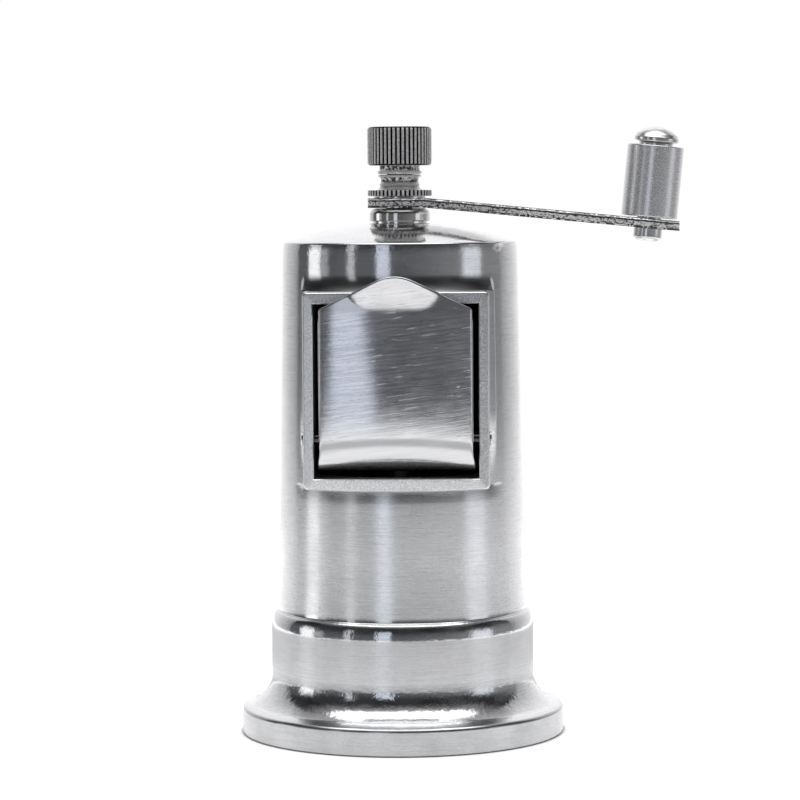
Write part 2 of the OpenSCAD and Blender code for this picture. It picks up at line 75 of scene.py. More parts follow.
GRIP_R, GRIP_LEN, GRIP_GAP = 5.25, 13.4, 0.25
JOURNAL_R, THREAD_R, SQUARE_W = 3.5, 2.45, 4.9


# ---------- angles in degrees ----------
def cosd(a):
    return cos(radians(a))


def sind(a):
    return sin(radians(a))


def tand(a):
    return tan(radians(a))


# ---------- mesh helpers ----------
def add_mesh(name, verts, faces):
    mesh = bpy.data.meshes.new(name)
    mesh.from_pydata([Vector(v) * MM for v in verts], [], faces)
    mesh.validate()
    mesh.update()
    obj = bpy.data.objects.new(name, mesh)
    scene.collection.objects.link(obj)
    return obj


def arc(cx, cz, r, a0, a1, n):
    """n + 1 points on an arc about (cx, cz), from a0 to a1."""
    angles = [a0 + (a1 - a0) * i / n for i in range(n + 1)]
    return [(cx + r * cosd(a), cz + r * sind(a)) for a in angles]


def supported(points, gap=0.06, step=None):
    """The same outline with extra points near the ends of its long straight runs, which keep shading flat."""
    out = []
    for a, b in zip(points, points[1:]):
        length = hypot(b[0] - a[0], b[1] - a[1])
        marks = [0.0]
        if length > 4 * gap:
            marks.append(gap / length)
            if step and length > 2 * step:
                count = int(length / step)
                marks += [i / count for i in range(1, count)]
            marks.append(1 - gap / length)
        out += [(a[0] + (b[0] - a[0]) * t, a[1] + (b[1] - a[1]) * t) for t in marks]
    return out + [points[-1]]


def lathe(name, profile, steps=256, closed=False):
    """Turns (radius, height) points around the Z axis."""
    verts, rings = [], []
    for r, z in profile:
        if r < 1e-6:
            rings.append([len(verts)] * steps)
            verts.append((0, 0, z))
        else:
            rings.append(list(range(len(verts), len(verts) + steps)))
            verts += [(r * cos(2 * pi * i / steps), r * sin(2 * pi * i / steps), z) for i in range(steps)]
    faces = []
    for lower, upper in zip(rings, rings[1:] + ([rings[0]] if closed else [])):
        for i in range(steps):
            j = (i + 1) % steps
            face = []
            for v in (lower[i], lower[j], upper[j], upper[i]):
                if v not in face:
                    face.append(v)
            if len(face) > 2:
                faces.append(face)
    return face_out(add_mesh(name, verts, faces))


def loft(name, rings):
    """Joins rings of equal length one after another, and caps both ends."""
    n = len(rings[0])
    verts = [p for ring in rings for p in ring]
    faces = [(k * n + i, k * n + (i + 1) % n, (k + 1) * n + (i + 1) % n, (k + 1) * n + i)
             for k in range(len(rings) - 1) for i in range(n)]
    faces += [tuple(range(n - 1, -1, -1)), tuple((len(rings) - 1) * n + i for i in range(n))]
    return face_out(add_mesh(name, verts, faces))


def face_out(obj):
    """Turns all faces of a closed mesh to point outwards."""
    bm = bmesh.new()
    bm.from_mesh(obj.data)
    bmesh.ops.recalc_face_normals(bm, faces=bm.faces)
    bm.to_mesh(obj.data)
    bm.free()
    return obj


def freeze(obj):
    """Applies the object's modifiers to its mesh."""
    depsgraph = bpy.context.evaluated_depsgraph_get()
    mesh = bpy.data.meshes.new_from_object(obj.evaluated_get(depsgraph))
    obj.modifiers.clear()
    obj.data = mesh
    return obj


def combine(obj, tools, operation):
    for tool in tools:
        mod = obj.modifiers.new(operation.lower(), "BOOLEAN")
        mod.operation, mod.object, mod.solver = operation, tool, "MANIFOLD"
        freeze(obj)
        assert len(obj.data.polygons) > 3, (obj.name, tool.name, operation)
        bpy.data.objects.remove(tool)
    return obj


def shade(obj, angle):
    """Smooth shading that breaks at edges sharper than angle, with large faces kept flat."""
    mesh = obj.data
    mesh.polygons.foreach_set("use_smooth", [True] * len(mesh.polygons))
    mesh.set_sharp_from_angle(angle=radians(angle))
    mod = obj.modifiers.new("weighted", "WEIGHTED_NORMAL")
    mod.keep_sharp, mod.weight = True, 50
    return obj


def prism_x(name, outline, x0, x1, bevel):
    """An outline in (y, z) extruded along X, with its two ends' edges slightly broken."""
    marks = [(x0, bevel), (x0 + bevel, 0), (x1 - bevel, 0), (x1, bevel)]
    return loft(name, [[(x, y, z) for y, z in offset_outline(outline, inset)] for x, inset in marks])


def offset_outline(pts, inset):
    """A closed outline moved inwards by inset."""
    pts = np.array(pts, float)
    before, after = np.roll(pts, 1, 0), np.roll(pts, -1, 0)

    def left(v):
        v = v / np.maximum(np.linalg.norm(v, axis=1, keepdims=True), 1e-9)
        return np.stack([-v[:, 1], v[:, 0]], 1)

    n0, n1 = left(pts - before), left(after - pts)
    mid = n0 + n1
    mid /= np.maximum(np.linalg.norm(mid, axis=1, keepdims=True), 1e-9)
    scale = 1 / np.maximum((mid * n0).sum(1, keepdims=True), 0.3)
    area = 0.5 * np.sum(pts[:, 0] * np.roll(pts[:, 1], -1) - np.roll(pts[:, 0], -1) * pts[:, 1])
    return pts + mid * scale * inset * (1 if area > 0 else -1)


# ---------- node helpers ----------
GRIME = (0.16, 0.155, 0.15)
MILL_SPAN = 100.0                                   # heights that the casting's ramps cover


class Nodes:
    """Short forms for building one node tree, which starts empty."""

    def __init__(self, tree):
        self.tree = tree
        tree.nodes.clear()

    def add(self, kind, inputs=None, **settings):
        """A new node; each input gets a socket to link or a value to hold."""
        made = self.tree.nodes.new("ShaderNode" + kind)
        for key, value in settings.items():
            setattr(made, key, value)
        for key, value in (inputs or {}).items():
            self.feed(made.inputs[key], value)
        return made

    def feed(self, socket, value):
        if isinstance(value, bpy.types.NodeSocket):
            self.tree.links.new(value, socket)
        else:
            socket.default_value = (*value, 1) if socket.type == "RGBA" else value

    def calc(self, operation, a, b=0.0):
        return self.add("Math", {0: a, 1: b}, operation=operation).outputs[0]

    def times(self, a, b):
        return self.calc("MULTIPLY", a, b)

    def vector(self, operation, a, b=(0, 0, 0)):
        """Vector arithmetic; b is a number for SCALE."""
        key = "Scale" if operation == "SCALE" else 1
        made = self.add("VectorMath", {0: a, key: b}, operation=operation)
        return made.outputs["Value" if operation == "LENGTH" else 0]

    def smooth(self, value, low, high, to_low=0.0, to_high=1.0):
        """value from low..high mapped smoothly to to_low..to_high."""
        return self.add("MapRange", {"Value": value, "From Min": low, "From Max": high, "To Min": to_low,
                                     "To Max": to_high}, interpolation_type="SMOOTHSTEP").outputs[0]

    def mix(self, factor, a, b, blend="MIX"):
        return self.add("Mix", {0: factor, 6: a, 7: b}, data_type="RGBA", blend_type=blend).outputs[2]

    def ramp(self, value, span, stops):
        """A colour from (place, colour or grey) pairs, as value runs from 0 to span."""
        made = self.add("ValToRGB", {"Fac": self.calc("DIVIDE", value, span)})
        elements = made.color_ramp.elements
        while len(elements) < len(stops):
            elements.new(0.5)
        for element, (place, colour) in zip(elements, stops):
            element.position = place / span
            element.color = (*colour, 1) if hasattr(colour, "__len__") else (colour,) * 3 + (1,)
        return made.outputs["Color"]

    def noise(self, vector, scale, detail=3.0, roughness=0.55):
        return self.add("TexNoise", {"Vector": vector, "Scale": scale, "Detail": detail,
                                     "Roughness": roughness}).outputs["Fac"]


class Metal(Nodes):
    """A metal material built up from object coordinates in millimetres."""

    def __init__(self, name, rough=None, colour=None, anisotropic=0.0, metallic=1.0):
        self.material = bpy.data.materials.new(name)
        self.material.use_nodes = True
        super().__init__(self.material.node_tree)
        self.shader = self.add("BsdfPrincipled", {"Metallic": metallic})
        self.add("OutputMaterial", {0: self.shader.outputs[0]})
        self.mm = self.vector("SCALE", self.add("TexCoord").outputs["Object"], 1 / MM)
        self.x, self.y, self.z = self.add("SeparateXYZ", {0: self.mm}).outputs
        self.colour, self.rough, self.heights, self.pits = colour, rough, [], []
        if anisotropic:
            turn = self.add("Tangent", direction_type="RADIAL", axis="Z").outputs[0]
            brushed = {"Anisotropic": anisotropic, "Anisotropic Rotation": 0.25, "Tangent": turn}
            for key, value in brushed.items():
                self.feed(self.shader.inputs[key], value)

    def by_height(self, stops):
        """A colour for each height, from (height, colour or grey) pairs."""
        return self.ramp(self.z, MILL_SPAN, stops)

    def number(self, grey):
        """A ramp of greys as a plain number."""
        return self.add("SeparateColor", {0: grey}).outputs[0]

    def level(self):
        """The position with its height left out."""
        return self.vector("MULTIPLY", self.mm, (1, 1, 0))

    def radius(self):
        return self.vector("LENGTH", self.level())

    def stretched(self, scale, turn=(0, 0, 0)):
        spun = self.add("VectorRotate", {"Vector": self.mm, "Rotation": turn}, rotation_type="EULER_XYZ")
        return self.vector("MULTIPLY", spun.outputs[0], scale)

    def around(self, along, across):
        """Coordinates that run slowly around the Z axis and quickly across the turning marks."""
        slow = self.vector("SCALE", self.vector("NORMALIZE", self.level()), along)
        fast = self.times(self.calc("SUBTRACT", self.z, self.radius()), across)
        return self.vector("ADD", slow, self.add("CombineXYZ", {2: fast}).outputs[0])

    def cover(self, mask, colour):
        """Puts a colour over the metal's own where the mask is 1."""
        self.colour = self.mix(mask, self.colour, colour)

    def tint(self, mask, colour):
        """Multiplies the metal's colour by another where the mask is 1."""
        self.colour = self.mix(mask, self.colour, colour, "MULTIPLY")

    def pitted(self, scale, share, size, dark, depth=0.02, colour=GRIME):
        """Small scattered pits in a share of the cells, darkened here and sunk in after all other heights."""
        cells = self.add("TexVoronoi", {"Vector": self.mm, "Scale": scale, "Randomness": 1.0}).outputs
        pick = self.add("SeparateColor", {0: cells["Color"]}).outputs
        inside = self.calc("SUBTRACT", self.times(pick[1], size), cells["Distance"])
        pit = self.times(self.smooth(inside, 0.0, size * 0.5), self.calc("LESS_THAN", pick[0], share))
        self.cover(self.times(pit, dark), colour)
        self.pits = [(pit, -depth)]

    def vary_rough(self, value, low, high):
        """Adds low..high to the roughness as value, a noise, runs over its usual spread."""
        extra = self.add("MapRange", {"Value": value, "From Min": 0.3, "From Max": 0.7, "To Min": low,
                                      "To Max": high}).outputs[0]
        self.rough = self.calc("ADD", self.rough, extra)

    def finish(self):
        bump = {}
        for value, amount in self.heights + self.pits:
            inputs = {"Height": value, "Strength": 1.0, "Distance": amount * MM, **bump}
            bump = {"Normal": self.add("Bump", inputs).outputs[0]}
        for key, value in {"Base Color": self.colour, "Roughness": self.rough, **bump}.items():
            self.feed(self.shader.inputs[key], value)
        return self.material


def cast_polished():
    """The housing's outside: bright where a buffing wheel reaches, satin elsewhere, with painted shade under
    and over the frame.
    """
    m = Metal("polished_cast_aluminium", anisotropic=0.72)
    turned = m.noise(m.around(2.2, 9.0), 1.0, detail=4.0)
    fine = m.noise(m.around(26.0, 22.0), 1.0, detail=2.0)
    smudge = m.noise(m.mm, 0.16, detail=3.0)
    # roughness, then tone, by height: bright cove, shoulder and rim; satin foot, collar and lower barrel
    stops = [(0.0, 0.27), (4.6, 0.24), (5.2, 0.075), (10.5, 0.075), (10.9, 0.23), (19.9, 0.22), (20.3, 0.06),
             (23.4, 0.06), (24.2, 0.26), (46.0, 0.25), (60.0, 0.2), (80.0, 0.17), (86.0, 0.13), (91.4, 0.10),
             (92.3, 0.07), (97.0, 0.06)]
    m.rough = m.number(m.by_height(stops))
    m.vary_rough(turned, -0.015, 0.03)
    m.vary_rough(smudge, -0.012, 0.03)
    tones = [(0.0, 0.63), (4.7, 0.63), (5.2, 0.92), (10.5, 0.92), (10.9, 0.76), (19.9, 0.76), (20.3, 0.92),
             (23.4, 0.90), (24.2, 0.98), (50.0, 0.98), (70.0, 0.84), (88.0, 0.88), (97.0, 0.92)]
    m.colour = m.by_height([(z, (v, v * 1.003, v * 1.012)) for z, v in tones])
    m.tint(m.smooth(smudge, 0.35, 0.75, 0.0, 0.25), (0.70, 0.70, 0.705))
    # painted shade: the barrel is darkened right under and over the frame, standing in for the frame's shadow
    low, high = FRAME_Z
    beside = m.smooth(m.calc("ABSOLUTE", m.x), FRAME_HALF - 1.4, FRAME_HALF + 2.6, 1.0, 0.0)
    front = m.calc("LESS_THAN", m.y, 0.0)
    under = m.times(m.smooth(m.z, low - 4.6, low - 0.8), m.smooth(m.z, low + 0.1, low + 0.4, 1.0, 0.0))
    over = m.times(m.smooth(m.z, high + 3.9, high + 0.8), m.calc("GREATER_THAN", m.z, high + 0.1))
    frame_shade = m.times(m.calc("ADD", under, over), m.times(beside, front))
    m.tint(m.times(frame_shade, 0.75), (0.50, 0.50, 0.50))
    speck = m.noise(m.stretched((1.6, 1.6, 3.0)), 2.2, detail=4.0, roughness=0.75)
    m.tint(m.smooth(speck, 0.40, 0.66, 0.0, 0.34), (0.52, 0.52, 0.525))
    streak = m.noise(m.around(3.5, 5.0), 1.0, detail=5.0, roughness=0.7)
    m.tint(m.smooth(streak, 0.46, 0.66, 0.0, 0.22), (0.5, 0.5, 0.505))
    m.pitted(0.55, 0.10, 0.09, 0.7)
    # waves that hand buffing left in the cove, the shoulder and the rim
    wavy = [(0.0, 0.0), (4.8, 0.0), (6.0, 0.6), (8.5, 1.0), (11.2, 0.8), (12.0, 0.0), (19.6, 0.0),
            (20.6, 0.5), (23.2, 0.5), (24.0, 0.0), (84.0, 0.0), (90.5, 0.35), (91.7, 0.5), (93.0, 0.25)]
    buffed = m.noise(m.mm, 0.62, detail=3.0, roughness=0.6)
    waves = m.times(buffed, m.number(m.by_height(wavy)))
    m.heights = [(turned, 0.0016), (fine, 0.0012), (m.noise(m.mm, 0.35, detail=1.0), 0.010), (waves, 0.085)]
    return m.finish()


def linished():
    """The flat face of the filler frame, sanded on a belt."""
    m = Metal("linished_aluminium", 0.34)
    lines = m.noise(m.stretched((0.5, 1.0, 5.5)), 1.0, detail=4.0, roughness=0.65)
    grain = m.noise(m.mm, 5.0, detail=3.0, roughness=0.7)
    m.vary_rough(grain, -0.08, 0.10)
    m.colour = m.mix(m.smooth(grain, 0.38, 0.62), (0.60, 0.605, 0.61), (1.0, 1.0, 1.0))
    m.pitted(1.3, 0.22, 0.16, 0.85, 0.05)
    m.heights = [(lines, 0.012), (grain, 0.014)]
    return m.finish()


def cast_inside():
    """The housing's inside, left as it came out of the sand."""
    m = Metal("as_cast_aluminium", 0.5)
    sand = m.noise(m.mm, 2.6, detail=5.0, roughness=0.65)
    lumps = m.noise(m.mm, 0.35, detail=2.0)
    m.colour = m.mix(m.smooth(sand, 0.35, 0.7), (0.44, 0.44, 0.435), (0.70, 0.70, 0.695))
    m.vary_rough(sand, -0.06, 0.14)
    m.heights = [(lumps, 0.10), (sand, 0.06)]
    return m.finish()


def chute_brushed():
    """The filler chute, brushed across its front and buffed on its lip and its curl."""
    m = Metal("brushed_cast_aluminium", 0.11, anisotropic=0.7)
    # the belt ran a few degrees off level, and the deeper scratches a little more
    slant, steeper = (0, radians(7), 0), (0, radians(8.5), 0)
    lines = m.noise(m.stretched((0.22, 1.0, 7.5), slant), 1.0, detail=4.0, roughness=0.6)
    deep = m.smooth(m.noise(m.stretched((0.16, 0.6, 3.2), steeper), 1.3, detail=1.0), 0.69, 0.74)
    grain = m.noise(m.mm, 6.5, detail=2.0, roughness=0.6)
    smudge = m.noise(m.mm, 0.22, detail=3.0)
    m.vary_rough(lines, -0.03, 0.045)
    m.vary_rough(smudge, -0.02, 0.035)
    # 1 on the front, where the belt's marks are left, and low on the smooth lip and curl
    over_curl = m.smooth(m.z, CURL_TOP - 1.3, CURL_TOP + 2.7, 0.22, 1.0)
    flat = m.times(over_curl, m.smooth(m.z, LIP_Z + 1.1, LIP_Z - 0.5, 0.22, 1.0))
    m.colour = m.mix(m.times(m.smooth(grain, 0.35, 0.68), flat), (0.94, 0.945, 0.96), (0.73, 0.735, 0.755))
    m.cover(m.calc("SUBTRACT", 1.0, flat), (0.60, 0.60, 0.61))
    hair = m.noise(m.stretched((0.09, 0.8, 2.9), slant), 1.0, detail=4.0, roughness=0.72)
    m.tint(m.times(m.smooth(hair, 0.44, 0.60, 0.0, 0.45), flat), (0.56, 0.565, 0.58))
    m.cover(m.times(m.smooth(hair, 0.42, 0.32, 0.0, 0.40), flat), (0.99, 0.99, 0.995))
    m.pitted(0.8, 0.14, 0.10, 0.8)
    m.heights = [(lines, 0.006), (deep, -0.004), (grain, 0.0012)]
    return m.finish()


def satin_aluminium():
    m = Metal("satin_aluminium", 0.24, anisotropic=0.3, metallic=0.72)
    grain = m.noise(m.mm, 7.0, detail=3.0, roughness=0.7)
    lines = m.noise(m.around(1.2, 7.0), 1.0, detail=3.0)
    m.vary_rough(grain, -0.05, 0.09)
    m.colour = m.mix(m.smooth(grain, 0.3, 0.75), (0.80, 0.80, 0.805), (0.97, 0.97, 0.975))
    m.pitted(1.6, 0.2, 0.10, 0.7)
    m.heights = [(grain, 0.006), (lines, 0.003)]
    return m.finish()


def nickel(name="bright_nickel", rough=0.07, colour=(0.83, 0.82, 0.80), metallic=1.0):
    m = Metal(name, rough, metallic=metallic)
    smudge = m.noise(m.mm, 0.9, detail=3.0)
    orange = m.noise(m.mm, 3.5, detail=2.0)
    m.vary_rough(smudge, -0.02, 0.07)
    m.colour = m.mix(m.smooth(smudge, 0.4, 0.75, 0.0, 0.5), colour, tuple(c * 0.8 for c in colour))
    m.pitted(2.2, 0.12, 0.12, 0.7, 0.015)
    m.heights = [(orange, 0.004)]
    return m.finish()


def hinge_steel():
    """A pin with a bright riveted head; its shank inside the opening is painted near-black as shade."""
    m = Metal("hinge_pin_steel", 0.14)
    grain = m.noise(m.mm, 3.0, detail=3.0)
    m.vary_rough(grain, -0.03, 0.08)
    m.colour = m.mix(m.smooth(grain, 0.35, 0.7), (0.84, 0.83, 0.81), (0.60, 0.59, 0.57))
    # painted shade: the shank inside the opening, in the gap beside the chute, is near-black
    m.cover(m.smooth(m.calc("ABSOLUTE", m.x), OPEN_HALF + 0.2, OPEN_HALF - 0.05), (0.09, 0.085, 0.08))
    m.heights = [(grain, 0.01)]
    return m.finish()


def knurled():
    """Nickel whose knurled rim is bright on the teeth, with painted shade down between them and in two rings
    at the necks.
    """
    m = Metal("knurled_nickel", metallic=0.35)
    radius = m.radius()
    speck = m.noise(m.mm, 4.0, detail=3.0, roughness=0.7)
    m.colour = m.mix(m.smooth(speck, 0.42, 0.62, 0.0, 0.7), (1.0, 0.99, 0.975), (0.38, 0.375, 0.36))
    # painted shade: near-black down in the valleys between the teeth, where occlusion falls
    rim = m.smooth(radius, KNURL_R - TOOTH_DEPTH - 0.02, KNURL_R - TOOTH_DEPTH - 0.06)
    valley = m.smooth(radius, KNURL_R - 0.05, KNURL_R - 0.17)
    m.cover(m.times(valley, m.calc("SUBTRACT", 1.0, rim)), (0.012, 0.011, 0.01))
    # two rings of painted shade, under the lock nut's head and in the adjusting nut's waist
    under_head = m.times(m.smooth(m.z, LOCK_Z + 0.62, LOCK_Z + 0.80),
                         m.smooth(m.z, LOCK_HEAD_Z + 0.02, LOCK_HEAD_Z - 0.1))
    waist = m.times(m.smooth(m.z, WAIST_Z - 0.45, WAIST_Z - 0.2), m.smooth(m.z, WAIST_Z + 0.7, WAIST_Z + 0.5))
    dotted = m.smooth(m.noise(m.mm, 1.7, detail=3.0), 0.56, 0.46)
    neck = m.times(m.calc("ADD", under_head, waist), dotted)
    m.cover(m.times(neck, m.calc("LESS_THAN", radius, NECK_R)), (0.06, 0.058, 0.055))
    m.rough = m.smooth(radius, KNURL_R - 0.4, KNURL_R - 0.1, 0.14, 0.30)
    m.vary_rough(speck, -0.04, 0.08)
    m.heights = [(speck, 0.012)]
    return m.finish()


def strip_top():
    m = Metal("nickelled_steel_strip", 0.16, (0.78, 0.775, 0.77))
    lines = m.noise(m.stretched((0.25, 5.0, 1.0)), 1.0, detail=4.0)
    smudge = m.noise(m.mm, 0.5, detail=3.0)
    m.vary_rough(lines, -0.03, 0.05)
    m.vary_rough(smudge, -0.03, 0.06)
    m.cover(m.smooth(smudge, 0.5, 0.8, 0.0, 0.3), (0.5, 0.495, 0.49))
    m.heights = [(lines, 0.004)]
    return m.finish()


def strip_edge():
    """The sheared edges of the crank's strip: torn in a band whose bright flecks are painted glints of the
    torn metal, between two rolled corners painted dark as shade.
    """
    m = Metal("sheared_steel_edge", 0.42, metallic=0.1)
    sloping = m.calc("MAXIMUM", m.calc("SUBTRACT", m.x, ARM_BEND_X), 0.0)
    level = m.calc("ADD", m.z, m.times(sloping, tand(ARM_DROP)))
    level = m.calc("SUBTRACT", level, ARM_Z)
    torn = m.noise(m.stretched((0.8, 0.8, 1.5)), 2.2, detail=5.0, roughness=0.7)
    fleck = m.noise(m.stretched((1.0, 1.0, 1.5)), 1.9, detail=4.0, roughness=0.75)
    waver = m.times(m.calc("SUBTRACT", m.noise(m.mm, 0.9, detail=3.0), 0.5), 0.5)
    level = m.calc("ADD", level, waver)
    # painted shade: near-black outside the torn band, along both rolled corners; the white flecks in the band
    # and on the upper corner are painted glints
    band = m.times(m.smooth(level, 0.30, 0.46), m.smooth(level, 1.22, 1.10))
    rolled = m.times(m.smooth(level, 1.38, 1.48), m.smooth(level, 1.74, 1.66))
    bright = m.mix(m.smooth(fleck, 0.43, 0.49), (0.012, 0.012, 0.012), (1.0, 0.995, 0.99))
    m.colour = m.mix(band, (0.035, 0.034, 0.032), bright)
    m.cover(m.times(rolled, m.smooth(fleck, 0.36, 0.44)), (0.97, 0.965, 0.96))
    m.vary_rough(torn, -0.05, 0.2)
    m.heights = [(torn, 0.08), (fleck, 0.05)]
    return m.finish()


def machined(name, colour, rough, coarse=1.0, stain=(0.30, 0.28, 0.26)):
    m = Metal(name, rough, colour)
    rings = m.noise(m.around(1.5, 6.0 * coarse), 1.0, detail=4.0)
    cloud = m.noise(m.mm, 0.45, detail=4.0)
    m.vary_rough(rings, -0.05, 0.08)
    m.vary_rough(cloud, -0.05, 0.10)
    m.cover(m.smooth(cloud, 0.5, 0.8, 0.0, 0.55), stain)
    m.pitted(1.2, 0.15, 0.12, 0.6, colour=stain)
    m.heights = [(rings, 0.006 * coarse)]
    return m.finish()


MATERIALS = {
    "cast": cast_polished(), "face": linished(), "inside": cast_inside(), "chute": chute_brushed(),
    "satin": satin_aluminium(), "nickel": nickel(), "knurled": knurled(),
    "nickel_worn": nickel("nickelled_pin", 0.13, (0.92, 0.915, 0.905), 0.86),
    "hinge": hinge_steel(), "strip": strip_top(), "edge": strip_edge(),
    "hardened": machined("hardened_steel", (0.40, 0.40, 0.41), 0.30, 1.3, (0.16, 0.14, 0.12)),
    "plain": machined("plain_steel", (0.58, 0.58, 0.585), 0.26),
    "spring": machined("spring_steel", (0.45, 0.45, 0.47), 0.22, 0.8),
    "bronze": machined("bronze", (0.72, 0.50, 0.27), 0.28, 1.0, (0.34, 0.20, 0.09)),
}


def dress(obj, *names):
    """Gives the object its materials; faces say which one they use by index."""
    obj.data.materials.clear()
    for name in names:
        obj.data.materials.append(MATERIALS[name])


def place(obj, body, slot, *nodes):
    """Attaches a piece to the empty of the body it rides on and hides the CAD nodes it replaces; slot is not
    used.
    """
    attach(obj, body)
    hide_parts(*nodes)
    return obj


def complete(obj, look, body, slot, cad_node, angle=32):
    """Shades, dresses and places a piece that has one finish."""
    shade(obj, angle)
    dress(obj, look)
    return place(obj, body, slot, cad_node)


# ---------- the casting ----------
COVE_C = (COLLAR_R + COVE_R,
          FOOT_SIDE_H + sqrt((COVE_R + FOOT_EDGE_R) ** 2 - (COLLAR_R + COVE_R - FOOT_R + FOOT_EDGE_R) ** 2))
FOOT_EDGE_C = (FOOT_R - FOOT_EDGE_R, FOOT_SIDE_H)
DOME_C = RIM_Z + RIM_FILLET - sqrt(DOME_R ** 2 - (BARREL_TOP_R - RIM_FILLET) ** 2)


def barrel_r(z):
    return BARREL_TOP_R + TAPER * (RIM_Z - z) + FLARE * max(0.0, FLARE_Z - z) ** 2


def dome_z(r, inside=0.0):
    return DOME_C + sqrt((DOME_R - inside) ** 2 - r * r)


def casting_outside():
    shoulder_top = SHOULDER_Z + SHOULDER_H
    roll_in = barrel_r(shoulder_top) + 0.12
    crease = 0.35                                   # small hollow where the barrel rises out of the shoulder
    low_edge = 0.35                                 # radius of the foot's lower edge
    points = [(0, 0), (FOOT_R - low_edge, 0)]
    points += arc(FOOT_R - low_edge, low_edge, low_edge, -80, 0, 5)
    points += supported([(FOOT_R, low_edge), (FOOT_R, FOOT_SIDE_H)])[1:-1]
    points += arc(*FOOT_EDGE_C, FOOT_EDGE_R, 0, 66, 12)
    points += supported([points[-1], arc(*COVE_C, COVE_R, 242, 242, 1)[0]], step=0.3)[1:-1]
    points += arc(*COVE_C, COVE_R, 242, 180, 30)
    points += supported([(COLLAR_R, COVE_C[1]), (COLLAR_R, SHOULDER_Z - 0.3)])[1:]
    points += [(roll_in + (COLLAR_R - roll_in) * cosd(a),
                SHOULDER_Z + (SHOULDER_H - crease) * sind(a)) for a in range(3, 91, 3)]
    points += arc(barrel_r(shoulder_top) + crease, shoulder_top, crease, 250, 180, 5)
    points += [(barrel_r(z), z) for z in np.arange(shoulder_top + 0.4, 34.6, 0.9)]
    points += [(barrel_r(z) - RIM_LEAN * max(0.0, z - RIM_LEAN_Z) ** 2, z) for z in supported_heights()]
    leant = BARREL_TOP_R - RIM_FILLET - RIM_LEAN * (RIM_Z - RIM_LEAN_Z) ** 2
    points += arc(leant, RIM_Z, RIM_FILLET, 8, 72, 8)
    points += [(r, dome_z(r)) for r in np.linspace(BARREL_TOP_R - RIM_FILLET - 0.35, BUSH_R + 0.2, 22)]
    points += [(0, dome_z(BUSH_R + 0.2))]
    body = lathe("housing", points, 384)
    for v in body.data.vertices:
        x, y, z = v.co / MM
        if 40 < z < 91 and y < 0:
            push = 1 + frame_fillet(x, y, z) / hypot(x, y)
            v.co.x, v.co.y = x * push * MM, y * push * MM
    return body


def supported_heights():
    """Levels up the barrel, close together where the frame's fillet needs them."""
    fine = [*np.arange(45.0, 48.4, 0.2), *np.arange(49.5, 82.5, 1.1), *np.arange(83.2, 86.8, 0.2)]
    return [34.6, 38.0, 41.5, *fine, 88.5, *np.arange(RIM_LEAN_Z, RIM_Z, 0.2)]


def frame_fillet(x, y, z):
    """How far the surface stands out near the frame: a cast fillet above it, a buffed hollow under it."""
    above, below, slope, hollow = 3.4, 3.2, 0.3, 0.03
    beside = max(0.0, (abs(atan2(x, -y)) - asin(FRAME_HALF / BARREL_TOP_R)) * BARREL_TOP_R)
    bow = FRAME_BOW * (1 - min(1.0, (x / FRAME_HALF) ** 2)) if z < 60 else 0.0
    under = FRAME_Z[0] - bow - z
    if under > 0:
        gap = hypot(beside, under)
        return -hollow * (below - gap) ** 2 if gap < below else 0.0
    gap = hypot(beside * 3.0, max(0.0, z - FRAME_Z[1]))
    push = slope * (above - gap) ** 2 / above if gap < above else 0.0
    return push * smoothstep(FRAME_Z[0] + 2, FRAME_Z[0] + 14, z)


def rounded_box_outline(inset, r=0.9, n=7):
    """The filler frame's outline in (x, z), inset from its edges; its lower edge sags in the middle."""
    w, z0, z1, q = FRAME_HALF - inset, FRAME_Z[0] + inset, FRAME_Z[1] - inset, max(0.15, r - inset)
    points = arc(w - q, z1 - q, q, 0, 90, n) + arc(-w + q, z1 - q, q, 90, 180, n)
    points += arc(-w + q, z0 + q, q, 180, 262, n)
    points += [(x, z0 - FRAME_BOW * (1 - (x / w) ** 2)) for x in np.linspace(-w + q, w - q, 25)[1:-1]]
    return points + arc(w - q, z0 + q, q, 278, 360, n)


def frame_block():
    """The filler frame; each bar's face leans slightly outwards, as hand sanding left it."""
    edge, bar = 0.42, 1.93

    def lean(x, z):
        if abs(x) > FRAME_HALF - bar:
            out = abs(x) - (FRAME_HALF - bar)
            if z > FRAME_Z[1] - bar or z < FRAME_Z[0] + bar:
                out *= 0.6
            return out * (LEAN_LEFT if x < 0 else LEAN_RIGHT)
        if z < FRAME_Z[0] + bar:
            return (FRAME_Z[0] + bar - z) * LEAN_BELOW
        return max(0.0, z - FRAME_Z[1] + bar) * LEAN_ABOVE

    rings = [[(x, -FRAME_FACE, z) for x, z in rounded_box_outline(bar)]]
    for a in range(0, 91, 15):
        outline = rounded_box_outline(edge * (1 - sind(a)))
        rings.append([(x, -FRAME_FACE + lean(x, z) + edge * (1 - cosd(a)), z) for x, z in outline])
    rings.append([(x, -8, z) for x, z in rounded_box_outline(0)])
    return loft("frame_block", rings)


def opening_cutter():
    """Cuts the frame's opening, with a slightly rounded front edge."""
    edge = 0.16

    def ring(y, grow):
        w, z0, z1 = OPEN_HALF + grow, OPEN_Z[0] - grow, OPEN_Z[1] + grow
        return [(w, y, z0), (w, y, z1), (-w, y, z1), (-w, y, z0)]

    rings = [ring(-FRAME_FACE - 1.5, edge)]
    for a in (0, 30, 60, 90):
        eased = edge * sind(a)
        rings.append(ring(-FRAME_FACE + eased, edge - eased))
    return loft("opening", rings + [ring(-12.5, 0)])


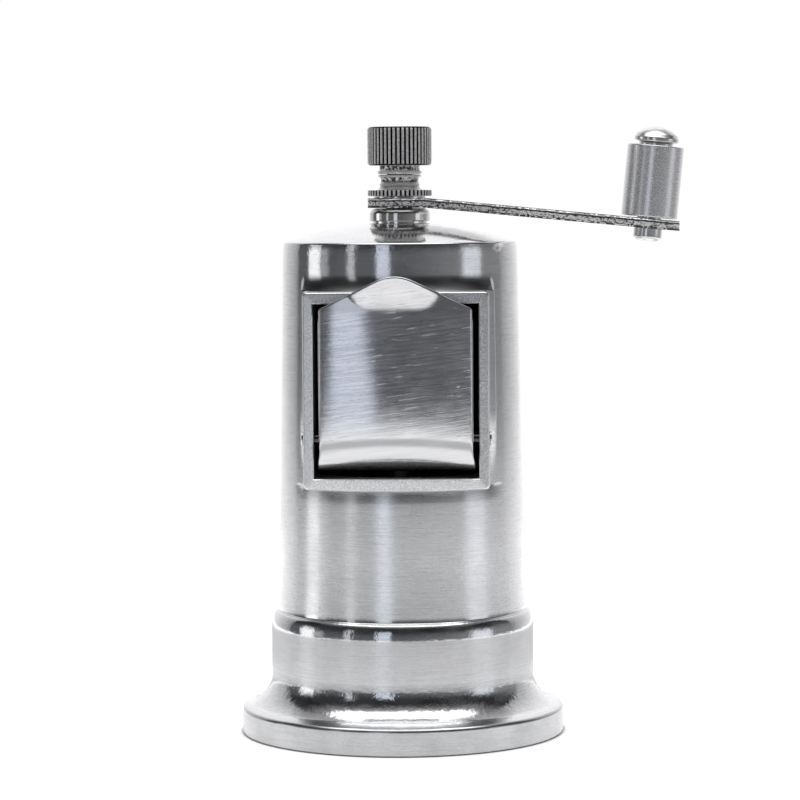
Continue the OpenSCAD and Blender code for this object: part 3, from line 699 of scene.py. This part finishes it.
def casting_hollow():
    """The foot's hollow, the seat of the burr's ring, the throat, and the hopper up to the bush's boss."""
    inner = lambda z: barrel_r(max(z, 30)) - WALL
    seat_r, seat_z, throat_r, boss_r, boss_z = 23.0, 9.0, 19.0, 7.6, 90.4
    points = [(0, -1), (27.3, -1), (27.3, 2), (24.6, 5.4), (seat_r, 7.4), (seat_r, seat_z),
              (throat_r, seat_z), (throat_r, 20.5), (inner(0), SHOULDER_Z + SHOULDER_H)]
    points += [(inner(z), z) for z in (30, 50, 70, RIM_Z - 3)]
    points += [(r, dome_z(r, WALL)) for r in np.linspace(inner(RIM_Z) - 1.2, boss_r, 9)]
    points += [(boss_r, boss_z), (0, boss_z)]
    return lathe("hollow", points, 192)


def cylinder_at(r, z0, z1, x=0.0, y=0.0, steps=48):
    obj = lathe("drill", [(0, z0), (r, z0), (r, z1), (0, z1)], steps)
    obj.data.transform(Matrix.Translation((x * MM, y * MM, 0)))
    return obj


def at_hinge(obj, side):
    """Turns a mesh made about Z onto the hinge's axis, pointing to one side."""
    obj.data.transform(Matrix.Translation((0, -HINGE_FRONT * MM, HINGE_Z * MM))
                       @ Matrix.Rotation(side * pi / 2, 4, "Y"))
    return obj


def housing():
    body = casting_outside()
    combine(body, [frame_block()], "UNION")
    combine(body, [casting_hollow()], "DIFFERENCE")
    lug, lug_half = [(14.9, 36), (21.4, 36), (21.4, 45), (14.9, 40)], 4.5
    for side in (-1, 1):
        rings = [[(side * x, y, z) for x, z in lug] for y in (-lug_half, lug_half)]
        combine(body, [loft("lug", rings)], "UNION")
    bridge_hole_r, bridge_hole_x, ring_hole_r, ring_hole_at, pin_hole_r = 1.52, 16.8, 1.12, 20.55, 0.92
    drills = [opening_cutter(), cylinder_at(BUSH_BODY_R + 0.02, 80, 120, steps=96)]
    drills += [cylinder_at(bridge_hole_r, 35, 41, side * bridge_hole_x) for side in (-1, 1)]
    for a in (90, 210, 330):
        drills.append(cylinder_at(ring_hole_r, 8, 14.5, ring_hole_at * cosd(a), ring_hole_at * sind(a)))
    drills += [at_hinge(cylinder_at(pin_hole_r, 10, 20, steps=32), side) for side in (-1, 1)]
    combine(body, drills, "DIFFERENCE")
    shade(body, 38)
    dress(body, "cast", "face", "inside")
    body.data.polygons.foreach_set("material_index", [casting_finish(p) for p in body.data.polygons])
    return place(body, "body", "polished_cast_aluminium", "housing")


def casting_finish(face):
    """Which of the casting's finishes a face has: 0 polished, 1 sanded, 2 as cast."""
    x, y, z = face.center / MM
    r, n = hypot(x, y), face.normal
    if n.y < -0.9 and y < -FRAME_FACE + 0.3 and FRAME_Z[0] < z < FRAME_Z[1] and r > barrel_r(z) + 0.5:
        return 1
    outward = (n.x * x + n.y * y) / max(r, 1e-6)
    in_opening = abs(x) < OPEN_HALF + 0.01 and OPEN_Z[0] - 0.01 < z < OPEN_Z[1] + 0.01
    in_opening = in_opening and -FRAME_FACE + 0.17 < y < 0
    in_hopper = r < barrel_r(z) - 0.6 and z < 90 and not (z < 12 and r > 24.65)
    in_foot = 0.4 < z < 9 and outward < -0.2 and r < 27.4
    under_dome = z > 86 and n.z < -0.3
    hidden = in_opening or in_hopper or in_foot or under_dome or r < BUSH_BODY_R + 0.1
    return 2 if hidden and z >= 0.01 else 0


# ---------- the filler chute ----------
CURL_START = degrees(asin((PILLOW_Z - CURL_TOP) / PILLOW_R))
CURL_C = (-CHUTE_FRONT + (PILLOW_Z - CURL_TOP) ** 2 / (2 * PILLOW_R) + CURL_R * cosd(CURL_START),
          CURL_TOP + CURL_R * sind(CURL_START))
FLAT_TOP = LIP_Z - 0.6


def smoothstep(a, b, x):
    t = min(1.0, max(0.0, (x - a) / (b - a)))
    return t * t * (3 - 2 * t)


def gable_top(x):
    tip_z = GABLE_Z + (CHUTE_HALF - APEX_ROUND) * tand(GABLE_SLOPE)
    tip_r = APEX_ROUND / sind(GABLE_SLOPE)
    if abs(x) < APEX_ROUND:
        return tip_z - tip_r * cosd(GABLE_SLOPE) + sqrt(tip_r ** 2 - x * x)
    return tip_z - (abs(x) - APEX_ROUND) * tand(GABLE_SLOPE)


def chute_width(z):
    """Half the front's width at a height: it flares at the curled edge's corners."""
    flare = 0.35 * smoothstep(57.5, 52.2, z) - 1.0 * smoothstep(51.9, 50.0, z)
    return CHUTE_HALF + flare


def bulge(x, z):
    """How far the front falls back at x: round across in the middle, and flatter near the gable."""
    mid = 1.236 * (abs(x) / CHUTE_HALF) ** 2.03
    top = 1.1 * (abs(x) / CHUTE_HALF) ** 2.8
    t = smoothstep(60.0, 82.0, z)
    return mid * (1 - t) + top * t


def front_point(x, s):
    """The surface at x and at s along the profile: below 0 on the curl, 0..1 up the front, then the lip."""
    q = (x / CHUTE_HALF) ** 2
    if s < 0:
        turn = CURL_START - s * (CURL_END - 180 - CURL_START)
        a = radians(180 + turn)
        y, z = CURL_C[0] + CURL_R * cos(a), CURL_C[1] + CURL_R * sin(a)
        z -= 1.0 * q * smoothstep(82, 44, turn)
        return Vector((x, y + bulge(x, 60) * (1 - 0.45 * smoothstep(20, 80, turn)), z))
    if s <= 1:
        z = CURL_TOP + (FLAT_TOP - CURL_TOP) * s
        back = -CHUTE_FRONT + max(0.0, PILLOW_Z - z) ** 2 / (2 * PILLOW_R)
        return Vector((x, back + bulge(x, z), z - 1.0 * q * smoothstep(9, 0, z - CURL_TOP)))
    z = FLAT_TOP + (s - 1) * (gable_top(x) - 0.3 - FLAT_TOP)
    lip = max(0.0, z - (LIP_Z + 0.9e-5 * x ** 6))
    quick, ease = 1.35, 10.0
    out = min(lip, quick) ** 2 / (2 * ease) + max(0.0, lip - quick) * quick / ease
    return Vector((x, -CHUTE_FRONT + bulge(x, z) - out - max(0.0, lip - quick) ** 2 / 120, z))


def front_normal(x, s):
    e = 0.02
    dx = front_point(x + e, s) - front_point(x - e, s)
    ds = front_point(x, s + 0.004) - front_point(x, s - 0.004)
    return dx.cross(ds).normalized()


def chute_shell():
    """The front shell: its outer face, a broken edge all round, and its back."""
    rim = [(sind(a), 1 - cosd(a)) for a in range(10, 91, 10)]     # outwards, backwards
    side_r, end_r = 0.65, 0.3                       # the rim's radius at the sides, and above and below
    curl, flat, lip = 30, 34, 16                    # rows of faces
    rows = [-i / curl for i in range(curl, 0, -1)] + [i / flat for i in range(flat + 1)]
    rows += [1 + i / lip for i in range(1, lip + 1)]
    cols = np.linspace(-1, 1, 61)
    front, back = [], []
    for s in rows:
        line, behind = [], []
        for u in cols:
            z = front_point(0, s).z if s <= 1 else 79.0
            x = u * (chute_width(z) - side_r + (side_r - end_r) * smoothstep(56.0, 53.0, z))
            p, n = front_point(x, s), front_normal(x, s)
            line.append((p, n))
            if s <= 1:
                t = SHELL_T + (CHUTE_FRONT - CHUTE_BACK - SHELL_T) * smoothstep(0.985, 1.0, s)
                b = p - n * t if s < 0.985 else Vector((p.x, max(p.y + SHELL_T, -CHUTE_FRONT + t), p.z))
            else:
                b = Vector((p.x, -CHUTE_BACK, p.z))
            behind.append(b)
        front.append(line)
        back.append(behind)
    nr, nc = len(rows), len(cols)
    verts = [tuple(p) for line in front for p, _ in line]
    index = lambda r, c: r * nc + c
    faces = [(index(r, c), index(r, c + 1), index(r + 1, c + 1), index(r + 1, c))
             for r in range(nr - 1) for c in range(nc - 1)]
    around = [(0, c) for c in range(nc)] + [(r, nc - 1) for r in range(1, nr)] \
        + [(nr - 1, c) for c in range(nc - 2, -1, -1)] + [(r, 0) for r in range(nr - 2, 0, -1)]
    count = len(around)
    previous = [index(r, c) for r, c in around]
    middle = [Vector(verts[i]) for i in previous]
    outward = []
    for i, (r, c) in enumerate(around):
        along = (middle[(i + 1) % count] - middle[i - 1]).normalized()
        n = front[r][c][1]
        outward.append(along.cross(n).normalized())
    radii = [side_r + (end_r - side_r) * max(smoothstep(0.5, 0.95, abs(outward[i].z)),
                                             smoothstep(56.0, 53.0, middle[i].z)) for i in range(count)]
    loops = [[middle[i] + outward[i] * o * radii[i] - front[r][c][1] * b * radii[i]
              for i, (r, c) in enumerate(around)] for o, b in rim]
    ends = [back[r][c] + outward[i] * radii[i] for i, (r, c) in enumerate(around)]
    loops.append([a.lerp(b, 0.12) for a, b in zip(loops[-1], ends)])
    loops.append([a.lerp(b, 0.8) for a, b in zip(loops[-2], ends)])
    loops.append([back[r][c] + outward[i] * (radii[i] - 0.15) for i, (r, c) in enumerate(around)])
    starts = [len(verts) + k * count for k in range(len(loops))]
    verts += [tuple(p) for loop in loops for p in loop]
    base = len(verts)
    verts += [tuple(p) for line in back for p in line]
    rear = [base + index(r, c) for r, c in around]
    for new in [range(start, start + count) for start in starts] + [rear]:
        for i in range(count):
            j = (i + 1) % count
            faces.append((previous[i], new[i], new[j], previous[j]))
        previous = new
    faces += [(base + index(r, c), base + index(r + 1, c), base + index(r + 1, c + 1), base + index(r, c + 1))
              for r in range(nr - 1) for c in range(nc - 1)]
    return face_out(add_mesh("filler_chute", verts, faces))


def chute_cheek(side):
    """One cheek: a quarter disc about the hinge, a stop at its inner corner, and a foot inside the curl."""
    hub = lambda r, a: (-HINGE_FRONT + r * cosd(a), HINGE_Z + r * sind(a))
    radius, corner = 22.8, 1.2
    top_y = -HINGE_FRONT - 3.0
    stop = [(26.2, 33.0), (26.3, 34.2), (26.3, 38.0), (25.9, 38.5), (24.0, 39.0), (radius, 41.5)]
    outline = [hub(r, a) for r, a in [(2.0, -20), (11.0, 28), *stop]]
    outline += [hub(radius, a) for a in range(44, 97, 3)]
    outline += [(top_y, HINGE_Z + sqrt(radius ** 2 - 9) - corner), (top_y, 70), (top_y, 62)]
    outline += arc(CURL_C[0] + 0.6, CURL_C[1], CURL_R - 1.3, 186, 252, 11)
    outline += [(-18.6, 52.0), (-18.4, 57.6)]
    x0, x1 = CHUTE_HALF - CHEEK_T, CHUTE_HALF - 0.06
    return prism_x("cheek", outline, *((x0, x1) if side > 0 else (-x1, -x0)), bevel=0.12)


def filler_chute():
    shell = chute_shell()
    combine(shell, [chute_cheek(-1), chute_cheek(1)], "UNION")
    holes = [at_hinge(cylinder_at(0.95, 10, 16, steps=32), side) for side in (-1, 1)]
    combine(shell, holes, "DIFFERENCE")
    return complete(shell, "chute", "chute", "brushed_cast_aluminium", "filler_chute", 35)


def hinge_pins():
    half = FRAME_HALF
    profile = [(0, 12.3), (0.75, 12.3), (0.9, 12.45), (0.9, half), (1.15, half), (1.35, half + 0.12),
               (1.33, half + 0.25), (1.15, half + 0.38), (0.75, half + 0.44), (0, half + 0.45)]
    pins = join([at_hinge(lathe("hinge_pins", profile, 48), side) for side in (-1, 1)])
    return complete(pins, "hinge", "body", "bright_nickel", "hinge_pins")


def join(objects):
    """One object with all the meshes in it."""
    verts, faces = [], []
    for o in objects:
        base = len(verts)
        verts += [tuple(v.co / MM) for v in o.data.vertices]
        faces += [tuple(base + i for i in p.vertices) for p in o.data.polygons]
    made = add_mesh("joined", verts, faces)
    name = objects[0].name
    for o in objects:
        bpy.data.objects.remove(o)
    made.name = made.data.name = name
    return made


# ---------- top of the spindle ----------
def top_bush():
    edge, top, seat = 1.1, ARM_Z - 0.1, dome_z(BUSH_R + 0.2)
    profile = [(JOURNAL_R + 0.05, BUSH_BOTTOM), (BUSH_BODY_R, BUSH_BOTTOM), (BUSH_BODY_R, seat),
               (BUSH_R - 0.5, seat), (BUSH_R - 0.5, seat + 0.3)]
    profile += arc(BUSH_R - 0.2, seat + 0.5, 0.2, -80, 0, 4) + [(BUSH_R, seat + 0.55)]
    profile += [(BUSH_R, top - edge - 0.05)] + arc(BUSH_R - edge, top - edge, edge, 0, 90, 14)
    profile += [(JOURNAL_R + 0.25, top), (JOURNAL_R + 0.05, top - 0.2)]
    obj = lathe("top_bush", profile, 192, closed=True)
    return complete(obj, "nickel", "body", "bright_nickel", "top_bush")


def toothed_ring(name, z0, z1, chamfer, bore):
    """A knurled head: vee teeth with slightly flattened tips, broken at both ends."""
    pitch = 2 * pi / TEETH
    shape = [(-0.5, KNURL_R - TOOTH_DEPTH), (-0.26, KNURL_R - 0.08), (-0.15, KNURL_R - 0.02),
             (0.0, KNURL_R), (0.15, KNURL_R - 0.02), (0.26, KNURL_R - 0.08)]
    outline = [(r * cos((i + t) * pitch), r * sin((i + t) * pitch)) for i in range(TEETH) for t, r in shape]
    head = loft(name, [[(x, y, z) for x, y in outline] for z in (z0 - 0.5, z1 + 0.5)])
    small, big = KNURL_R - chamfer, KNURL_R + 0.1
    profile = [(bore, z0), (small, z0), (big, z0 + chamfer + 0.1), (big, z1 - chamfer - 0.1), (small, z1),
               (bore, z1)]
    return combine(head, [lathe("turned", profile, 264, closed=True)], "INTERSECT")


def adjusting_nut():
    z0 = ARM_Z + ARM_T + WASHER_T + 0.05
    top, bore = z0 + 1.1, THREAD_R + 0.05
    head = toothed_ring("adjusting_nut", z0, top, 0.14, bore)
    profile = [(bore, top - 0.3), (4.7, top - 0.3), (4.7, top)] + arc(4.6, top + 0.95, 0.95, 266, 190, 9)
    waist_r, collar_r, boss_top = 3.5, 3.83, 104.8
    profile += [(waist_r + 0.34 * ((z - WAIST_Z) / 0.8) ** 2, z) for z in np.linspace(102.95, 104.2, 12)]
    profile += arc(collar_r, 104.53, 0.24, 215, 430, 12) + [(3.6, boss_top), (bore, boss_top)]
    combine(head, [lathe("boss", profile, 192, closed=True)], "UNION")
    return complete(head, "knurled", "adjuster", "bright_nickel", "adjusting_nut", 30)


def lock_nut():
    bore, blind = THREAD_R + 0.05, 112.4
    head = toothed_ring("lock_nut", LOCK_HEAD_Z, LOCK_TOP, 0.42, 0.0)
    dish = [(0, -0.36), (4.0, -0.36), (4.3, -0.30), (4.75, 0.05), (4.75, 1), (0, 1)]
    combine(head, [lathe("dish", [(r, LOCK_TOP + z) for r, z in dish], 192)], "DIFFERENCE")
    profile = [(0, LOCK_Z), (3.95, LOCK_Z), (4.10, LOCK_Z + 0.1), (4.15, LOCK_Z + 0.28),
               (4.12, LOCK_Z + 0.45)]
    profile += arc(4.0, LOCK_Z + 0.45, 0.12, 20, 90, 4)
    profile += [(3.84, LOCK_Z + 0.66), (3.76, LOCK_Z + 0.85), (3.75, LOCK_Z + 1.1), (3.80, LOCK_HEAD_Z),
                (3.80, LOCK_HEAD_Z + 0.3), (0, LOCK_HEAD_Z + 0.3)]
    combine(head, [lathe("neck", profile, 192)], "UNION")
    combine(head, [cylinder_at(bore, LOCK_Z - 1, blind, steps=64)], "DIFFERENCE")
    return complete(head, "knurled", "locker", "bright_nickel", "lock_nut", 30)


def thrust_washer():
    z0, r, bore = ARM_Z + ARM_T, WASHER_R, JOURNAL_R + 0.1
    profile = [(bore, z0), (r - 0.1, z0), (r, z0 + 0.1), (r, z0 + WASHER_T - 0.1), (r - 0.1, z0 + WASHER_T),
               (bore, z0 + WASHER_T)]
    obj = lathe("thrust_washer", profile, 160, closed=True)
    return complete(obj, "nickel", "crank", "plain_steel", "thrust_washer")


# ---------- the crank ----------
def arm_half_width(x):
    hub = sqrt(max(0.0, HUB_R ** 2 - x * x))
    tail = sqrt(max(0.0, ARM_END_R ** 2 - (x - THROW) ** 2))
    if x < 0 or x > THROW:
        return hub if x < 0 else tail
    return max(hub, tail, ARM_HALF)


def arm_drop_at(x):
    """How far the strip has sloped down at x, with a short bend."""
    soft = 1.2
    t = x - ARM_BEND_X
    slope = tand(ARM_DROP)
    if t < -soft:
        return 0.0
    if t > soft:
        return slope * t
    return slope * (t + soft) ** 2 / (4 * soft)


def crank_arm():
    """The steel strip: smooth rolled faces, and edges torn where it was sheared."""
    angles = np.linspace(0, pi / 2, 22)
    xs = [-HUB_R * cos(a) for a in angles] + list(np.arange(0.25, THROW, 0.25))
    xs += [THROW + ARM_END_R * sin(a) for a in angles]
    across, levels, edge = 10, 9, 0.22
    verts, faces, rings = [], [], []
    for x in xs:
        w = max(arm_half_width(x), 0.02)
        top = ARM_Z + ARM_T - arm_drop_at(x)
        low = ARM_Z - arm_drop_at(x)
        inner = max(w - edge, 0.01)
        ring = [(x, -inner + 2 * inner * i / across, top, 0) for i in range(across + 1)]
        for side in (1, -1):
            for k in range(levels + 1):
                f = k / levels if side > 0 else 1 - k / levels
                round_off = edge * (1 - sqrt(max(0.0, 1 - max(0.0, abs(f - 0.5) * 2 - 0.7) ** 2 / 0.09)))
                z = top - 0.08 - (ARM_T - 0.16) * f
                ring.append((x, side * (w - round_off), z, side))
            if side > 0:
                ring += [(x, inner - 2 * inner * i / across, low, 0) for i in range(across + 1)]
        rings.append(range(len(verts), len(verts) + len(ring)))
        for px, py, pz, side in ring:
            if side:
                coarse = Vector((px * 2.4, side * 7.0 + pz * 0.2, pz * 2.2))
                fine = Vector((px * 5.5, side * 3, pz * 1.3))
                torn = noise.fractal(coarse, 0.6, 2.1, 5) * 0.09 + noise.noise(fine) * 0.05
                sheared = 0.06 * (0.5 - (pz - (ARM_Z - arm_drop_at(px))) / ARM_T)
                py += side * (min(0.06, torn) - sheared - 0.06)
                pz += noise.noise(Vector((px * 1.7, side * 5.0, pz))) * 0.03
            verts.append((px, py, pz))
    n = len(rings[0])
    for a, b in zip(rings, rings[1:]):
        faces += [(a[i], a[(i + 1) % n], b[(i + 1) % n], b[i]) for i in range(n)]
    faces += [tuple(rings[0]), tuple(reversed(rings[-1]))]
    arm = face_out(add_mesh("crank_arm", verts, faces))
    w = SQUARE_W / 2 + 0.05
    square = loft("square", [[(w, w, z), (-w, w, z), (-w, -w, z), (w, -w, z)] for z in (90, 110)])
    pin_hole = cylinder_at(PIN_HOLE_R, -3, 1, steps=64)
    pin_hole.data.transform(GRIP_FRAME)
    combine(arm, [square, pin_hole], "DIFFERENCE")
    shade(arm, 50)
    arm.modifiers.clear()
    dress(arm, "strip", "edge")
    finishes = [1 if abs(p.normal.z) < 0.75 else 0 for p in arm.data.polygons]
    arm.data.polygons.foreach_set("material_index", finishes)
    return place(arm, "crank", "nickelled_steel_strip", "crank_arm")


# where the grip's axis meets the strip's top; grip pieces are made about Z and moved here as objects
GRIP_FRAME = (Matrix.Translation((ARM_BEND_X * MM, 0, (ARM_Z + ARM_T) * MM))
              @ Matrix.Rotation(radians(ARM_DROP), 4, "Y")
              @ Matrix.Translation(((THROW - ARM_BEND_X) / cosd(ARM_DROP) * MM, 0, 0)))


def grip_pin():
    tail_len, tail_r, neck_r, head_r = 2.4, 2.7, 3.15, 4.15
    neck = GRIP_GAP + GRIP_LEN - 0.7
    head = GRIP_GAP + GRIP_LEN + 0.55
    dome = 1.9
    sphere = (head_r ** 2 + dome ** 2) / (2 * dome)
    half = degrees(asin(head_r / sphere))
    profile = [(0, -ARM_T - tail_len), (tail_r - 0.95, -ARM_T - tail_len)]
    profile += arc(tail_r - 0.9, -ARM_T - tail_len + 0.9, 0.9, -84, 0, 10)
    profile += [(tail_r, -ARM_T - 0.1), (tail_r - 0.1, -ARM_T), (PIN_HOLE_R, -ARM_T), (PIN_HOLE_R, 0),
                (2.3, 0), (2.3, neck), (neck_r, neck), (neck_r, head - 0.25)]
    profile += arc(neck_r + 0.3, head - 0.25, 0.3, 180, 90, 5) + [(head_r - 0.18, head + 0.1)]
    profile += arc(head_r - 0.2, head + 0.32, 0.2, -60, 0, 4) + [(head_r, head + 0.62)]
    top_c = head + 0.8 + 0.35 + dome - sphere
    profile += arc(head_r - 0.3, head + 0.78, 0.3, 0, 50, 5)
    angles = [radians(a) for a in np.linspace(half - 4, 0, 18)]
    profile += [(sphere * sin(a), top_c + sphere * cos(a)) for a in angles]
    obj = lathe("grip_pin", profile, 160)
    obj.matrix_world = GRIP_FRAME
    return complete(obj, "nickel_worn", "crank", "bright_nickel", "grip_pin")


def grip_roller():
    edge, top, recess = 0.3, GRIP_GAP + GRIP_LEN, 1.0
    bore, mouth = 2.35, 3.3
    profile = [(bore, GRIP_GAP)] + arc(GRIP_R - edge, GRIP_GAP + edge, edge, -90, 0, 6)
    profile += supported([(GRIP_R, GRIP_GAP + edge), (GRIP_R, top - edge)])[1:-1]
    profile += arc(GRIP_R - edge, top - edge, edge, 0, 90, 6)
    profile += [(mouth + 0.12, top), (mouth, top - 0.12), (mouth, top - recess), (bore, top - recess)]
    obj = lathe("grip_roller", profile, 192, closed=True)
    obj.matrix_world = GRIP_FRAME
    return complete(obj, "satin", "grip", "satin_aluminium", "grip_roller")


# ---------- inside ----------
def burr_spring():
    """The coil between the bridge and the burr."""
    z0, z1, mean, wire, turns, steps, sides = 20.35, 31.15, 4.6, 0.45, 5, 44, 14
    total = turns + 2
    count = total * steps
    lift = z1 - z0 - 2 * wire
    rings = []
    for k in range(count + 1):
        t = k / steps
        rise = 0 if t < 1 else 1 if t > total - 1 else (t - 1) / (total - 2)
        z = z0 + wire + lift * (0.09 * min(t, 1) + 0.82 * rise + 0.09 * max(0, t - total + 1))
        a = 2 * pi * t
        rings.append([((mean + wire * cos(b)) * cos(a), (mean + wire * cos(b)) * sin(a), z + wire * sin(b))
                      for b in (2 * pi * s / sides for s in range(sides))])
    obj = loft("burr_spring", rings)
    shade(obj, 40)
    dress(obj, "spring")
    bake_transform(obj)
    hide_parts("burr_spring")
    return obj


CARRIED = {"outer_burr": "hardened", "inner_burr": "hardened", "burr_ring_screws": "plain", "bridge": "plain",
           "bridge_bush": "bronze", "bridge_screws": "plain", "spindle": "plain", "burr_washer": "plain",
           "burr_nut": "plain"}


def carried_nodes():
    """CAD nodes whose shape is right as it is, with their finish."""
    for name, finish in CARRIED.items():
        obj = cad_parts[name]
        dress(obj, finish)
        mesh = obj.data
        mesh.polygons.foreach_set("use_smooth", [True] * len(mesh.polygons))
        mesh.set_sharp_from_angle(angle=radians(30))


# ---------- studio ----------
def studio():
    """White behind the mill, and in front a dim room with bright strips; angles in degrees from the front."""
    world = bpy.data.worlds.new("studio")
    scene.world = world
    world.use_nodes = True
    t = Nodes(world.node_tree)
    direction = t.add("TexCoord").outputs["Generated"]
    ray = t.add("SeparateXYZ", {0: direction}).outputs
    az = t.times(t.calc("ARCTAN2", ray[0], t.times(ray[1], -1.0)), 180 / pi)
    el = t.times(t.calc("ARCSINE", ray[2]), 180 / pi)

    def box(az0, az1, el0, el1, soft_az, soft_el):
        value = t.smooth(az, az0 - soft_az, az0 + soft_az)
        value = t.times(value, t.smooth(az, az1 - soft_az, az1 + soft_az, 1.0, 0.0))
        value = t.times(value, t.smooth(el, el0 - soft_el, el0 + soft_el))
        return t.times(value, t.smooth(el, el1 - soft_el, el1 + soft_el, 1.0, 0.0))

    # dim all round; a white backdrop behind up to backdrop_top, and a softbox overhead leaning to the front
    side = t.smooth(az, -4.0, 90.0)
    colour = t.mix(side, (0.108, 0.111, 0.120), (0.24, 0.243, 0.25))
    cloud = t.noise(direction, 2.6, roughness=0.5)
    high = t.smooth(el, 3.0, 24.0)
    shade_up = t.times(high, t.smooth(cloud, 0.36, 0.62, 0.96, 0.74))
    colour = t.mix(shade_up, colour, (0.012, 0.012, 0.013))
    turned = t.calc("ABSOLUTE", az)
    backdrop_top = 42.0
    behind = t.smooth(turned, 113.0, 119.0)
    behind = t.times(behind, t.smooth(el, backdrop_top - 6, backdrop_top + 6, 1.0, 0.55))
    sweep = t.times(t.smooth(turned, 150.0, 164.0), t.smooth(el, -1.0, 1.0))
    behind = t.calc("MAXIMUM", behind, sweep)
    greys = [(114, 0.30), (128, 0.52), (148, 0.80), (170, 1.05)]
    white = t.ramp(turned, 180.0, [(angle, (v, v, v * 1.01)) for angle, v in greys])
    colour = t.mix(behind, colour, white)

    def ellipse(half_x, half_y):
        """The squared distance from a point just in front of straight up, 1 on the ellipse."""
        across = t.calc("POWER", t.calc("ABSOLUTE", t.calc("DIVIDE", ray[0], half_x)), 2.0)
        along = t.calc("ABSOLUTE", t.calc("DIVIDE", t.calc("ADD", ray[1], 0.05), half_y))
        return t.calc("ADD", across, t.calc("POWER", along, 2.0))

    upward = t.calc("GREATER_THAN", ray[2], 0.0)
    halo = t.times(t.smooth(ellipse(0.90, 0.78), 0.9, 0.2), upward)
    colour = t.mix(halo, colour, (0.36, 0.36, 0.364))
    overhead = t.times(t.smooth(ellipse(0.55, 0.40), 1.3, 0.7), upward)
    colour = t.mix(overhead, colour, (2.0, 2.0, 2.02))
    # azimuth from and to, elevation from and to, the softness of both, and the colour
    strips = [(-98, -82, -8, 13, 2.0, 8.0, (1.2, 1.2, 1.21)),
              (-82, -72, -3, 10, 3.0, 4.0, (0.40, 0.41, 0.43)),
              (-80, -74, -14, -3, 1.5, 1.5, (0.08, 0.08, 0.085)),
              (-71, -64, -14, -3, 1.5, 1.5, (0.01, 0.01, 0.012)),
              (-50.5, -43, -8, 24, 1.5, 6.0, (0.55, 0.56, 0.58)),
              (-21, -8, -14, 22, 1.0, 6.0, (0.66, 0.70, 0.80)),
              (65, 87, -8, 12, 4.0, 8.0, (0.80, 0.82, 0.88))]
    for az0, az1, el0, el1, soft_az, soft_el, light in strips:
        colour = t.mix(box(az0, az1, el0, el1, soft_az, soft_el), colour, light)
    seen = t.add("LightPath").outputs["Is Camera Ray"]
    light = t.add("Background", {"Color": t.mix(seen, colour, (1.0, 1.0, 1.0)), "Strength": 1.0})
    t.add("OutputWorld", {0: light.outputs[0]})


def floor():
    """A pale table under the mill that glows by itself, with a painted contact shadow right under the foot.
    """
    table_r, top = 330, -0.005
    obj = lathe("floor", [(0, -2.0), (table_r, -2.0), (table_r, top), (0, top)], 96)
    mat = bpy.data.materials.new("pale_table")
    mat.use_nodes = True
    t = Nodes(mat.node_tree)
    coords = t.add("TexCoord").outputs["Object"]
    speck = t.noise(coords, 900.0, roughness=0.5)
    matte = t.add("BsdfDiffuse", {"Color": t.mix(speck, (0.80, 0.80, 0.80), (0.84, 0.84, 0.84))})
    radius = t.vector("LENGTH", t.vector("MULTIPLY", coords, (1 / MM, 1 / MM, 0)))
    # painted contact shadow: the table's glow fades out just at the foot's edge
    lit = t.smooth(radius, FOOT_R - 0.1, FOOT_R + 0.7, 0.0, 0.60)
    # the metal mirrors a table that is less lit in a ring around the mill
    ring = t.times(t.smooth(radius, 70.0, 105.0), t.smooth(radius, 150.0, 220.0, 1.0, 0.0))
    mirrored = t.smooth(ring, 0.0, 1.0, 1.12, 0.15)
    seen = t.add("LightPath").outputs["Is Camera Ray"]
    share = t.add("MapRange", {"Value": seen, "To Min": mirrored, "To Max": 1.0}).outputs[0]
    glow = t.add("Emission", {"Color": (1, 1, 1), "Strength": t.times(lit, share)})
    both = t.add("AddShader", {0: matte.outputs[0], 1: glow.outputs[0]})
    t.add("OutputMaterial", {0: both.outputs[0]})
    obj.data.materials.append(mat)


def camera():
    distance, height, pitch, azimuth, roll = 580.0, 102.0, 3.9, 2.2, -0.38
    data = bpy.data.cameras.new("camera")
    data.lens, data.sensor_width = 138.9, 36.0
    data.shift_x = -0.0014
    data.clip_start, data.clip_end = 0.02, 20.0
    cam = bpy.data.objects.new("camera", data)
    scene.collection.objects.link(cam)
    a = radians(azimuth)
    cam.location = (distance * sin(a) * MM, -distance * cos(a) * MM, height * MM)
    cam.rotation_mode = "QUATERNION"
    look = Matrix.Rotation(a, 4, "Z") @ Matrix.Rotation(radians(90 - pitch), 4, "X")
    cam.rotation_quaternion = (look @ Matrix.Rotation(radians(roll), 4, "Z")).to_quaternion()
    scene.camera = cam


for make in (housing, filler_chute, hinge_pins, top_bush, thrust_washer, adjusting_nut, lock_nut, crank_arm,
             grip_pin, grip_roller, burr_spring, carried_nodes, studio, floor, camera):
    make()

scene.view_settings.view_transform = "Standard"
scene.cycles.use_denoising = True
bpy.context.view_layer.update()
